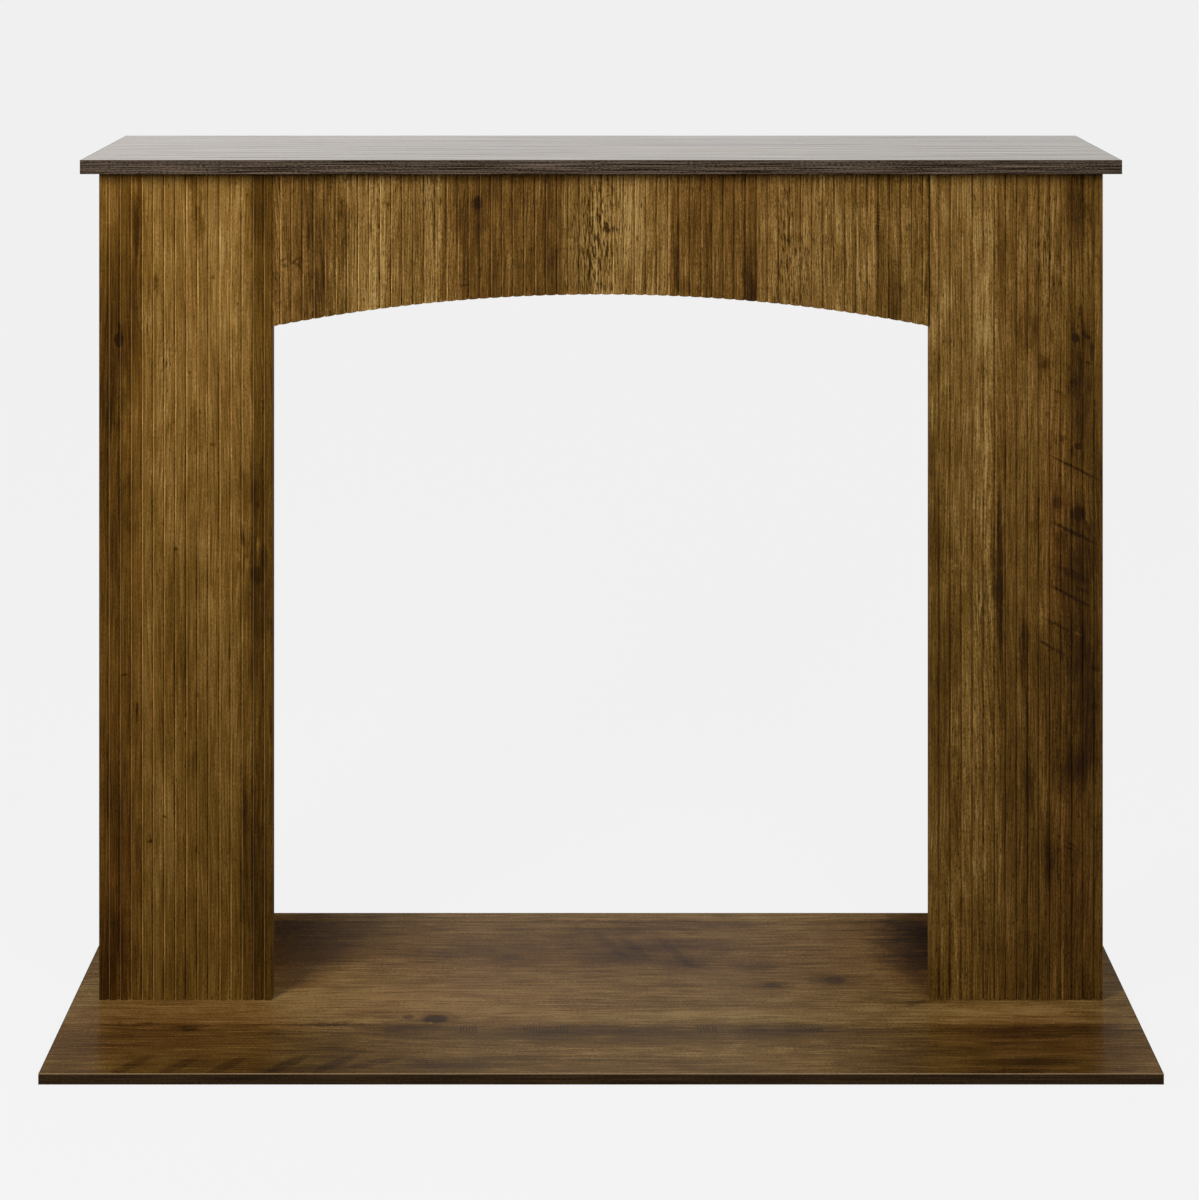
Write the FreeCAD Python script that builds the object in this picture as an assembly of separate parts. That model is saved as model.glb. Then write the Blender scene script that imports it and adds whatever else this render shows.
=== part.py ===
import FreeCAD, Part
import math
import os

# Free-standing electric fireplace surround: a hearth board, a mantel shelf and a reeded front with
# an arched opening, carried by two side panels and held together with cam locks, dowels and screws.
# Millimetres. The origin is the middle of the hearth's underside, +Z is up and the front faces -Y.

Vec = FreeCAD.Vector

# Hearth board
HEARTH_WIDTH = 1220.0
HEARTH_DEPTH = 380.0
HEARTH_THICKNESS = 12.0
HEARTH_SIDE_MARGIN = 30.0

# Mantel shelf, measured from the body below it
MANTEL_SIDE_OVERHANG = 15.0
MANTEL_FRONT_OVERHANG = 30.0
MANTEL_THICKNESS = 16.0

# Bands glued to the edges of both boards
BAND_THICKNESS = 1.0
BAND_ROUND = 0.5

# Body between the hearth and the mantel
BODY_DEPTH = 220.0
BODY_HEIGHT = 958.0
SIDE_THICKNESS = 16.0

# Reeded front, its thickness measured over the crests
FRONT_THICKNESS = 18.0
REED_PITCH = 12.8
REED_RELIEF = 3.2
GROOVE_WIDTH = 1.2

# Fire opening and the arched header over it, whose height is measured at its ends
OPENING_WIDTH = 760.0
HEADER_HEIGHT = 180.0
ARCH_RISE = 37.0
SEAM_GAP = 0.8

# Timber behind the front
RAIL_DEPTH = 60.0
RAIL_THICKNESS = 18.0
RAIL_END_GAP = 0.2
CLEAT_SIZE = 30.0
CLEAT_END_GAP = 2.0
SEAM_BATTEN_WIDTH = 60.0
SEAM_BATTEN_THICKNESS = 18.0
SEAM_BATTEN_LIFT = 20.0
BASE_BLOCK_SIZE = 30.0
BASE_BLOCK_INSET = 15.0
BASE_BLOCK_REAR_GAP = 20.0

# Steel wall brackets
BRACKET_LEG = 40.0
BRACKET_WIDTH = 44.0
BRACKET_STEEL = 2.0
BRACKET_BEND = 1.5
BRACKET_DROP = 108.0
BRACKET_HOLE_SETBACK = 26.0
BRACKET_HOLE_SPACING = 24.0
WALL_HOLE_RADIUS = 2.75

# Wood screws with countersunk heads
SCREW_RADIUS = 2.0
SCREW_HEAD_RADIUS = 3.8
SCREW_HEAD_RIM = 0.4
SCREW_TIP = 4.0
SCREW_BITE = 10.0
HEARTH_SCREW_BITE = 22.0
SCREW_FIT = 0.1
SCREW_END_MARGIN = 30.0
CROSS_SCREW_MARGIN = 60.0
SEAM_SCREW_MARGIN = 25.0
SEAM_SCREW_OFFSET = 15.0
TOP_SCREWS = 4

# Beech dowels
DOWEL_RADIUS = 4.0
HEADER_DOWEL_RADIUS = 3.0
DOWEL_BITE = 10.0
DOWEL_CHAMFER = 0.8
DOWEL_FIT = 0.1
DOWEL_END_GAP = 0.5

# Cam locks in the side panels
CAM_RADIUS = 7.5
CAM_FLOOR = 3.0
CAM_SETBACK = 24.0
CAM_TURN = 180.0
CAM_FIT = 0.15
CAM_CAVITY_RADIUS = 4.0
CAM_DRIVER_LENGTH = 8.0
CAM_DRIVER_WIDTH = 1.6
CAM_DRIVER_DEPTH = 2.4
JAMB_CAM_MARGIN = 110.0
MANTEL_CAM_FRONT_MARGIN = 60.0
MANTEL_CAM_REAR_MARGIN = 85.0

# Bolts that the cams draw in
BOLT_HEAD_RADIUS = 3.2
BOLT_HEAD_LENGTH = 3.0
BOLT_NECK_RADIUS = 2.0
BOLT_COLLAR_LENGTH = 1.5
BOLT_THREAD_RADIUS = 2.5
BOLT_BITE = 10.0
BOLT_FIT = 0.2
BOLT_BORE_RADIUS = 3.7

# Planes and edges that the pieces share
HEARTH_FRONT = -HEARTH_DEPTH / 2
WALL = HEARTH_DEPTH / 2
FRONT = WALL - BODY_DEPTH
FRONT_BACK = FRONT + FRONT_THICKNESS
GROOVE_FLOOR = FRONT + REED_RELIEF
HEARTH_TOP = HEARTH_THICKNESS
MANTEL_UNDER = HEARTH_TOP + BODY_HEIGHT
SIDE_OUTER = HEARTH_WIDTH / 2 - HEARTH_SIDE_MARGIN
SIDE_INNER = SIDE_OUTER - SIDE_THICKNESS
SIDE_MIDDLE = SIDE_OUTER - SIDE_THICKNESS / 2
OPENING_SIDE = OPENING_WIDTH / 2
HEADER_END = OPENING_SIDE - SEAM_GAP
ARCH_CORNER = MANTEL_UNDER - HEADER_HEIGHT
UP = Vec(0, 0, 1)
FORWARD = Vec(0, -1, 0)
HANDS = {"left": -1, "right": 1}

pieces = {}
cutters = {}


def block(x_limits, y_limits, z_limits):
    """A board between three pairs of limits, given in either order."""
    low = Vec(min(x_limits), min(y_limits), min(z_limits))
    high = Vec(max(x_limits), max(y_limits), max(z_limits))
    size = high - low
    return Part.makeBox(size.x, size.y, size.z, low)


def turned(profile, start, direction):
    """Turns (radius, distance) points about the line from start along direction."""
    points = [Vec(radius, 0, distance) for radius, distance in profile]
    for end in (0, -1):
        radius, distance = profile[end]
        if radius > 0:
            points.insert(len(points) if end else 0, Vec(0, 0, distance))
    face = Part.Face(Part.makePolygon(points + points[:1]))
    solid = face.revolve(Vec(), UP, 360)
    solid.Placement = FreeCAD.Placement(start, FreeCAD.Rotation(UP, direction))
    return solid


def add(group, solid):
    """Adds one solid to a group of like fasteners."""
    pieces.setdefault(group, []).append(solid)


def drill(cutter, *names):
    """Notes a hole that passes through the named pieces."""
    for name in names:
        cutters.setdefault(name, []).append(cutter)


def spread(low, high, count):
    """Evenly spaced places from low to high."""
    return [low + (high - low) * step / (count - 1) for step in range(count)]


def rounded(solid, radius, on_edge):
    """Rounds the edges whose middles pass a test."""
    return solid.makeFillet(radius, [edge for edge in solid.Edges if on_edge(edge.CenterOfMass)])


def drive_screw(group, start, direction, through, bite, names):
    """A countersunk wood screw whose head is flush at start, with its hole in the named pieces."""
    length = through + bite
    head_depth = SCREW_HEAD_RIM + SCREW_HEAD_RADIUS - SCREW_RADIUS
    add(group, turned(
        [
            (SCREW_HEAD_RADIUS, 0),
            (SCREW_HEAD_RADIUS, SCREW_HEAD_RIM),
            (SCREW_RADIUS, head_depth),
            (SCREW_RADIUS, length - SCREW_TIP),
            (0, length),
        ],
        start,
        direction,
    ))
    hole = turned(
        [
            (SCREW_HEAD_RADIUS + SCREW_FIT, -SCREW_FIT),
            (SCREW_HEAD_RADIUS + SCREW_FIT, SCREW_HEAD_RIM + SCREW_FIT),
            (SCREW_RADIUS + SCREW_FIT, head_depth + SCREW_FIT),
            (SCREW_RADIUS + SCREW_FIT, length - SCREW_TIP + SCREW_FIT),
            (0, length + 2 * SCREW_FIT),
        ],
        start,
        direction,
    )
    drill(hole, *names)


def fit_dowel(group, joint, direction, radius, names):
    """A chamfered dowel half in each of two pieces that meet at joint."""
    half = DOWEL_BITE
    add(group, turned(
        [
            (radius - DOWEL_CHAMFER, -half),
            (radius, -half + DOWEL_CHAMFER),
            (radius, half - DOWEL_CHAMFER),
            (radius - DOWEL_CHAMFER, half),
        ],
        joint,
        direction,
    ))
    deep = half + DOWEL_END_GAP
    drill(turned([(radius + DOWEL_FIT, -deep), (radius + DOWEL_FIT, deep)], joint, direction), *names)


def banded_board(board, label, half_width, front, under, thickness):
    """A board from the wall to its front edge, with bands on the three edges that show."""
    heights = (under, under + thickness)
    inner_end = half_width - BAND_THICKNESS
    inner_front = front + BAND_THICKNESS
    pieces[board] = block((-inner_end, inner_end), (inner_front, WALL), heights)
    band = block((-half_width, half_width), (front, inner_front), heights)
    pieces[label + "_front_edge_band"] = rounded(
        band, BAND_ROUND, lambda middle: abs(middle.y - front) < 1e-6 and abs(middle.x) < 1e-6
    )
    for hand, sign in HANDS.items():
        end = sign * half_width
        band = block((end, sign * inner_end), (inner_front, WALL), heights)
        pieces[f"{label}_{hand}_edge_band"] = rounded(
            band,
            BAND_ROUND,
            lambda middle: abs(middle.x - end) < 1e-6 and abs(middle.z - under - thickness / 2) > 1e-6,
        )


def reeded_blank(x_low, x_high, z_low, z_high):
    """A board a little wider than its panel, with whole reeds set out from a groove at mid width."""
    count = math.ceil((x_high - x_low) / 2 / REED_PITCH) + 1
    first = (x_low + x_high) / 2 - count * REED_PITCH + GROOVE_WIDTH / 2
    edges = []
    for reed in range(2 * count):
        left = Vec(first + reed * REED_PITCH, GROOVE_FLOOR, z_low)
        right = left + Vec(REED_PITCH - GROOVE_WIDTH, 0, 0)
        crest = (left + right) / 2 + FORWARD * REED_RELIEF
        groove_end = left + Vec(REED_PITCH, 0, 0)
        edges.append(Part.Arc(left, crest, right).toShape())
        edges.append(Part.makeLine(right, groove_end))
    back_right = Vec(groove_end.x, FRONT_BACK, z_low)
    back_left = Vec(first, FRONT_BACK, z_low)
    edges.append(Part.makeLine(groove_end, back_right))
    edges.append(Part.makeLine(back_right, back_left))
    edges.append(Part.makeLine(back_left, Vec(first, GROOVE_FLOOR, z_low)))
    return Part.Face(Part.Wire(edges)).extrude(UP * (z_high - z_low))


def jamb_panel(sign):
    """A reeded leg panel, from the edge of the opening to the outside of the side panel."""
    limits = sorted((sign * OPENING_SIDE, sign * SIDE_OUTER))
    blank = reeded_blank(*limits, HEARTH_TOP, MANTEL_UNDER)
    return blank.common(block(limits, (FRONT, FRONT_BACK), (HEARTH_TOP, MANTEL_UNDER)))


def arch_header_panel():
    """The reeded panel over the opening, cut to a shallow arch below."""
    left = Vec(-HEADER_END, FRONT, ARCH_CORNER)
    right = Vec(HEADER_END, FRONT, ARCH_CORNER)
    crown = Vec(0, FRONT, ARCH_CORNER + ARCH_RISE)
    top_right = Vec(HEADER_END, FRONT, MANTEL_UNDER)
    top_left = Vec(-HEADER_END, FRONT, MANTEL_UNDER)
    outline = Part.Wire([
        Part.Arc(left, crown, right).toShape(),
        Part.makeLine(right, top_right),
        Part.makeLine(top_right, top_left),
        Part.makeLine(top_left, left),
    ])
    blank = reeded_blank(-HEADER_END, HEADER_END, ARCH_CORNER, MANTEL_UNDER)
    return blank.common(Part.Face(outline).extrude(FORWARD * -FRONT_THICKNESS))


def rear_top_rail():
    """A flat rail under the back of the mantel, dowelled into both side panels."""
    end = SIDE_INNER - RAIL_END_GAP
    under = MANTEL_UNDER - RAIL_THICKNESS
    middle = WALL - RAIL_DEPTH / 2
    pieces["rear_top_rail"] = block((-end, end), (WALL - RAIL_DEPTH, WALL), (under, MANTEL_UNDER))
    for x in spread(-end + CROSS_SCREW_MARGIN, end - CROSS_SCREW_MARGIN, TOP_SCREWS):
        start = Vec(x, middle, under)
        names = ("rear_top_rail", "mantel_shelf")
        drive_screw("rear_rail_screws", start, UP, RAIL_THICKNESS, SCREW_BITE, names)
    for hand, sign in HANDS.items():
        for y in (middle - RAIL_DEPTH / 4, middle + RAIL_DEPTH / 4):
            joint = Vec(sign * SIDE_INNER, y, MANTEL_UNDER - RAIL_THICKNESS / 2)
            names = ("rear_top_rail", hand + "_side_panel")
            fit_dowel("rear_rail_dowels", joint, Vec(sign, 0, 0), DOWEL_RADIUS, names)


def header_cleat():
    """A square batten in the corner of the header and the mantel, screwed to both."""
    end = OPENING_SIDE - SEAM_BATTEN_WIDTH / 2 - CLEAT_END_GAP
    under = MANTEL_UNDER - CLEAT_SIZE
    back = FRONT_BACK + CLEAT_SIZE
    pieces["header_cleat"] = block((-end, end), (FRONT_BACK, back), (under, MANTEL_UNDER))
    for x in spread(-end + SCREW_END_MARGIN, end - SCREW_END_MARGIN, TOP_SCREWS):
        start = Vec(x, back, under + CLEAT_SIZE / 2)
        names = ("header_cleat", "arch_header_panel")
        drive_screw("header_cleat_screws", start, FORWARD, CLEAT_SIZE, SCREW_BITE, names)
    for x in spread(-end + CROSS_SCREW_MARGIN, end - CROSS_SCREW_MARGIN, TOP_SCREWS):
        start = Vec(x, FRONT_BACK + CLEAT_SIZE / 2, under)
        names = ("header_cleat", "mantel_shelf")
        drive_screw("header_cleat_screws", start, UP, CLEAT_SIZE, SCREW_BITE, names)


def seam_batten(hand, sign):
    """A short batten behind a seam, screwed to the jamb and to the header, and a dowel across the seam."""
    name = hand + "_seam_batten"
    seam = sign * OPENING_SIDE
    under = ARCH_CORNER + SEAM_BATTEN_LIFT
    back = FRONT_BACK + SEAM_BATTEN_THICKNESS
    half = SEAM_BATTEN_WIDTH / 2
    pieces[name] = block((seam - half, seam + half), (FRONT_BACK, back), (under, MANTEL_UNDER))
    panels = {sign: hand + "_jamb_panel", -sign: "arch_header_panel"}
    for way, panel in panels.items():
        for z in (under + SEAM_SCREW_MARGIN, MANTEL_UNDER - SEAM_SCREW_MARGIN):
            start = Vec(seam + way * SEAM_SCREW_OFFSET, back, z)
            names = (name, panel)
            drive_screw("seam_batten_screws", start, FORWARD, SEAM_BATTEN_THICKNESS, SCREW_BITE, names)
    joint = Vec(seam, (GROOVE_FLOOR + FRONT_BACK) / 2, (under + MANTEL_UNDER) / 2)
    fit_dowel("header_dowels", joint, Vec(sign, 0, 0), HEADER_DOWEL_RADIUS, panels.values())


def front_base_block(hand, sign):
    """A block behind the foot of a jamb, screwed to it and held by screws up through the hearth."""
    name = hand + "_front_base_block"
    inner = OPENING_SIDE + BASE_BLOCK_INSET
    back = FRONT_BACK + BASE_BLOCK_SIZE
    pieces[name] = block(
        (sign * inner, sign * SIDE_INNER), (FRONT_BACK, back), (HEARTH_TOP, HEARTH_TOP + BASE_BLOCK_SIZE)
    )
    for x in (inner + SCREW_END_MARGIN, SIDE_INNER - SCREW_END_MARGIN):
        start = Vec(sign * x, back, HEARTH_TOP + BASE_BLOCK_SIZE / 2)
        names = (name, hand + "_jamb_panel")
        drive_screw("base_block_screws", start, FORWARD, BASE_BLOCK_SIZE, SCREW_BITE, names)
    for x in (inner + CROSS_SCREW_MARGIN, SIDE_INNER - CROSS_SCREW_MARGIN):
        start = Vec(sign * x, FRONT_BACK + BASE_BLOCK_SIZE / 2, 0)
        names = ("hearth_board", name)
        drive_screw("hearth_screws", start, UP, HEARTH_THICKNESS, HEARTH_SCREW_BITE, names)


def side_base_block(hand, sign):
    """A block along the foot of a side panel, held in the same way."""
    name = hand + "_side_base_block"
    front = FRONT_BACK + BASE_BLOCK_SIZE
    back = WALL - BASE_BLOCK_REAR_GAP
    inner = SIDE_INNER - BASE_BLOCK_SIZE
    pieces[name] = block(
        (sign * inner, sign * SIDE_INNER), (front, back), (HEARTH_TOP, HEARTH_TOP + BASE_BLOCK_SIZE)
    )
    for y in (front + SCREW_END_MARGIN, back - SCREW_END_MARGIN):
        start = Vec(sign * inner, y, HEARTH_TOP + BASE_BLOCK_SIZE / 2)
        names = (name, hand + "_side_panel")
        drive_screw("base_block_screws", start, Vec(sign, 0, 0), BASE_BLOCK_SIZE, SCREW_BITE, names)
    for y in (front + CROSS_SCREW_MARGIN, back - CROSS_SCREW_MARGIN):
        start = Vec(sign * (SIDE_INNER - BASE_BLOCK_SIZE / 2), y, 0)
        names = ("hearth_board", name)
        drive_screw("hearth_screws", start, UP, HEARTH_THICKNESS, HEARTH_SCREW_BITE, names)


def wall_bracket(hand, sign):
    """A bent steel angle in the corner of a side panel and the wall, with two holes in each leg."""
    name = hand + "_wall_bracket"
    middle_height = MANTEL_UNDER - BRACKET_DROP
    low = middle_height - BRACKET_WIDTH / 2
    high = middle_height + BRACKET_WIDTH / 2
    face = sign * SIDE_INNER
    reach = sign * BRACKET_LEG
    steel = sign * BRACKET_STEEL
    side_leg = block((face - steel, face), (WALL - BRACKET_LEG, WALL), (low, high))
    wall_leg = block((face - reach, face), (WALL - BRACKET_STEEL, WALL), (low, high))
    angle = side_leg.fuse(wall_leg).removeSplitter()
    angle = rounded(
        angle,
        BRACKET_BEND + BRACKET_STEEL,
        lambda middle: abs(middle.x - face) < 1e-6 and abs(middle.y - WALL) < 1e-6,
    )
    pieces[name] = rounded(
        angle,
        BRACKET_BEND,
        lambda middle: abs(middle.x - face + steel) < 1e-6 and abs(middle.y - WALL + BRACKET_STEEL) < 1e-6,
    )
    for z in (middle_height - BRACKET_HOLE_SPACING / 2, middle_height + BRACKET_HOLE_SPACING / 2):
        start = Vec(face - steel, WALL - BRACKET_HOLE_SETBACK, z)
        names = (name, hand + "_side_panel")
        drive_screw("wall_bracket_screws", start, Vec(sign, 0, 0), BRACKET_STEEL, SCREW_BITE, names)
        hole = Vec(face - sign * BRACKET_HOLE_SETBACK, WALL, z)
        drill(Part.makeCylinder(WALL_HOLE_RADIUS, BRACKET_STEEL, hole, FORWARD), name)


def cam_disc():
    """A cam about its own axis, with the bolt along +X while it is locked.

    Its head cavity is open to a slit that the bolt's neck runs in as the cam turns, and the slit
    ends in a hole that lets the head out.
    """
    head_way = BOLT_HEAD_RADIUS + BOLT_FIT
    neck_way = BOLT_NECK_RADIUS + BOLT_FIT
    reach = CAM_RADIUS + CAM_FIT
    face = SIDE_THICKNESS / 2 - CAM_FIT
    floor = CAM_FLOOR - SIDE_THICKNESS / 2 + CAM_FIT
    disc = Part.makeCylinder(CAM_RADIUS, face - floor, Vec(0, 0, floor))
    cavity = Part.makeCylinder(CAM_CAVITY_RADIUS, 2 * head_way, Vec(0, 0, -head_way))
    slit = Part.makeCylinder(reach, 2 * neck_way, Vec(0, 0, -neck_way), UP, CAM_TURN)
    slit.rotate(Vec(), UP, -CAM_TURN)
    locked_end = Part.makeCylinder(neck_way, reach, Vec(), Vec(1, 0, 0))
    open_end = Part.makeCylinder(head_way, reach, Vec(), Vec(1, 0, 0))
    open_end.rotate(Vec(), UP, -CAM_TURN)
    half_length = CAM_DRIVER_LENGTH / 2
    half_width = CAM_DRIVER_WIDTH / 2
    driver_heights = (face - CAM_DRIVER_DEPTH, face)
    slot = block((-half_length, half_length), (-half_width, half_width), driver_heights)
    cross_slot = block((-half_width, half_width), (-half_length, half_length), driver_heights)
    return disc.cut([cavity, slit, locked_end, open_end, slot, cross_slot])


def cam_lock(name, hand, sign, centre, to_edge, panel, bolts):
    """A cam in a side panel's inner face, and the bolt that it draws out of a neighbouring panel."""
    inward = Vec(-sign, 0, 0)
    turn = FreeCAD.Rotation(to_edge, inward.cross(to_edge), inward, "ZXY")
    cam = cam_disc()
    cam.Placement = FreeCAD.Placement(centre, turn)
    pieces[name] = cam
    half_head = BOLT_HEAD_LENGTH / 2
    add(bolts, turned(
        [
            (BOLT_HEAD_RADIUS, -half_head),
            (BOLT_HEAD_RADIUS, half_head),
            (BOLT_NECK_RADIUS, half_head),
            (BOLT_NECK_RADIUS, CAM_SETBACK - BOLT_COLLAR_LENGTH),
            (BOLT_HEAD_RADIUS, CAM_SETBACK - BOLT_COLLAR_LENGTH),
            (BOLT_HEAD_RADIUS, CAM_SETBACK),
            (BOLT_THREAD_RADIUS, CAM_SETBACK),
            (BOLT_THREAD_RADIUS, CAM_SETBACK + BOLT_BITE),
        ],
        centre,
        to_edge,
    ))
    housing_start = centre + inward * (SIDE_THICKNESS / 2)
    housing_depth = SIDE_THICKNESS - CAM_FLOOR
    side = hand + "_side_panel"
    drill(Part.makeCylinder(CAM_RADIUS + CAM_FIT, housing_depth, housing_start, inward * -1), side)
    drill(Part.makeCylinder(BOLT_BORE_RADIUS, CAM_SETBACK, centre, to_edge), side)
    edge = centre + to_edge * CAM_SETBACK
    drill(Part.makeCylinder(BOLT_THREAD_RADIUS + SCREW_FIT, BOLT_BITE + SCREW_FIT, edge, to_edge), panel)


def side_panel(hand, sign):
    """A plain side panel, with its cam locks and dowels to the jamb and to the mantel."""
    side = hand + "_side_panel"
    jamb = hand + "_jamb_panel"
    x = sign * SIDE_MIDDLE
    faces = (sign * SIDE_INNER, sign * SIDE_OUTER)
    pieces[side] = block(faces, (FRONT_BACK, WALL), (HEARTH_TOP, MANTEL_UNDER))
    heights = spread(HEARTH_TOP + JAMB_CAM_MARGIN, MANTEL_UNDER - JAMB_CAM_MARGIN, 3)
    for place, z in zip(("lower", "middle", "upper"), heights):
        centre = Vec(x, FRONT_BACK + CAM_SETBACK, z)
        cam_lock(f"{hand}_jamb_cam_{place}", hand, sign, centre, FORWARD, jamb, "jamb_cam_bolts")
    for below, above in zip(heights, heights[1:]):
        fit_dowel("jamb_dowels", Vec(x, FRONT_BACK, (below + above) / 2), FORWARD, DOWEL_RADIUS, (side, jamb))
    depths = (FRONT_BACK + MANTEL_CAM_FRONT_MARGIN, WALL - MANTEL_CAM_REAR_MARGIN)
    for place, y in zip(("front", "rear"), depths):
        centre = Vec(x, y, MANTEL_UNDER - CAM_SETBACK)
        cam_lock(f"{hand}_mantel_cam_{place}", hand, sign, centre, UP, "mantel_shelf", "mantel_cam_bolts")
    joint = Vec(x, sum(depths) / 2, MANTEL_UNDER)
    fit_dowel("mantel_dowels", joint, UP, DOWEL_RADIUS, (side, "mantel_shelf"))


def build():
    """Makes every piece, drills it and writes one file for each."""
    banded_board("hearth_board", "hearth", HEARTH_WIDTH / 2, HEARTH_FRONT, 0, HEARTH_THICKNESS)
    mantel_end = SIDE_OUTER + MANTEL_SIDE_OVERHANG
    mantel_front = FRONT - MANTEL_FRONT_OVERHANG
    banded_board("mantel_shelf", "mantel", mantel_end, mantel_front, MANTEL_UNDER, MANTEL_THICKNESS)
    pieces["arch_header_panel"] = arch_header_panel()
    header_cleat()
    rear_top_rail()
    for hand, sign in HANDS.items():
        pieces[hand + "_jamb_panel"] = jamb_panel(sign)
        side_panel(hand, sign)
        seam_batten(hand, sign)
        front_base_block(hand, sign)
        side_base_block(hand, sign)
        wall_bracket(hand, sign)
    os.makedirs("parts", exist_ok=True)
    for name, piece in pieces.items():
        if isinstance(piece, list):
            shape = Part.makeCompound(piece)
        elif name in cutters:
            shape = piece.cut(cutters[name])
        else:
            shape = piece
        if len(shape.Solids) == 1:
            shape = shape.Solids[0]
        shape.exportStep(f"parts/{name}.step")
        print(name, len(shape.Solids), round(shape.Volume, 1), shape.isValid())


build()
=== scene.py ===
"""Fireplace surround: a reeded front with an arched opening, between a hearth board and a mantel shelf."""

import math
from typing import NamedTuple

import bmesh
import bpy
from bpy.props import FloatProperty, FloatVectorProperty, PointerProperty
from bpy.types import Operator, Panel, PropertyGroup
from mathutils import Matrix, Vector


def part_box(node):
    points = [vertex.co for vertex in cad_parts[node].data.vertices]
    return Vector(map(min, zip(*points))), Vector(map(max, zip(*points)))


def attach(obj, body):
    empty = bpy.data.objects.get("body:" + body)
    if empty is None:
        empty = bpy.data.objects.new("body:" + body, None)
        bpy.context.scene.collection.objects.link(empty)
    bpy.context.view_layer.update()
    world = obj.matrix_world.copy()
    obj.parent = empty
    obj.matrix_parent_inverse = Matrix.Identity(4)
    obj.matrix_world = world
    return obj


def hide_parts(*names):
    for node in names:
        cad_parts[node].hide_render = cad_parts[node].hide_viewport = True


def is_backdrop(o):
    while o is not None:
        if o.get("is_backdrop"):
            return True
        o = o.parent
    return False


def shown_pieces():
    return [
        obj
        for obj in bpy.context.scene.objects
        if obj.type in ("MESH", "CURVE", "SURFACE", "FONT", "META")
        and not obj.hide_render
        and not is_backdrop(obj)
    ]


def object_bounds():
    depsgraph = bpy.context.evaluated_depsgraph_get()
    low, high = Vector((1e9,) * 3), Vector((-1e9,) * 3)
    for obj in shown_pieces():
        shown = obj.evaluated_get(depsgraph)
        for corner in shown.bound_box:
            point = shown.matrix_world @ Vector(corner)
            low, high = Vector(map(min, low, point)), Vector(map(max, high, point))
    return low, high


bl_info = {
    "name": "Fireplace surround",
    "version": (1, 0, 0),
    "blender": (4, 5, 0),
    "location": "3D View > Sidebar > Surround",
    "description": "Dresses the packed fireplace surround with printed wood foil, edge bands and fittings",
    "category": "Object",
}

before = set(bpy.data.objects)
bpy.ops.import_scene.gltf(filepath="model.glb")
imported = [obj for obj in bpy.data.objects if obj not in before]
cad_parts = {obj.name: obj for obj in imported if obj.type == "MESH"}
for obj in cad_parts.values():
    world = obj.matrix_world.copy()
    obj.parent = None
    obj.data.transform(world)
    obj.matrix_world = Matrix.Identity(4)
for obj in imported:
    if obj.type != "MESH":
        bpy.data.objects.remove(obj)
CAD_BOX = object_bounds()
BODY = "surround"
MM = 0.001
PER_METRE = 1000.0

# The photograph's height in its own pixels, which the focal length below is counted in
PHOTO_HEIGHT = 1200


def linear(hex_colour):
    """A linear RGBA colour from an sRGB hex value."""
    channels = [int(hex_colour[i:i + 2], 16) / 255 for i in (1, 3, 5)]
    return [c / 12.92 if c <= 0.04045 else ((c + 0.055) / 1.055) ** 2.4 for c in channels] + [1.0]


def colour_property(name, description, hex_colour):
    """A colour that a user can change, from its sRGB hex value."""
    return FloatVectorProperty(
        name=name,
        description=description,
        subtype="COLOR",
        size=4,
        min=0.0,
        max=1.0,
        default=linear(hex_colour),
    )


def length_property(name, description, metres):
    """A length that a user can change, in metres."""
    return FloatProperty(name=name, description=description, default=metres, unit="LENGTH")


class ReedSizes(PropertyGroup):
    pitch: length_property("Reed pitch", "From one groove to the next", 12.8 * MM)
    relief: length_property("Reed relief", "From a reed's crest to the groove floor", 3.0 * MM)
    groove: length_property("Groove width", "Across a groove at the reeds' shoulders", 2.6 * MM)
    crown: length_property("Reed crown", "How far a reed's middle stands over its shoulders", 0.9 * MM)
    ease: length_property("Eased ends", "How far the arch eases off a reed's end by its grooves", 0.5 * MM)
    edge_round: length_property("Edge round", "Rounding of a panel's outer upright edges", 1.2 * MM)
    arch_rise: length_property("Arch rise", "From the arch's ends to its crown", 37 * MM)
    left_seam: length_property("Left seam", "Gap between the left jamb and the header", 0.4 * MM)
    right_seam: length_property("Right seam", "Gap between the right jamb and the header", 1.2 * MM)


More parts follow.
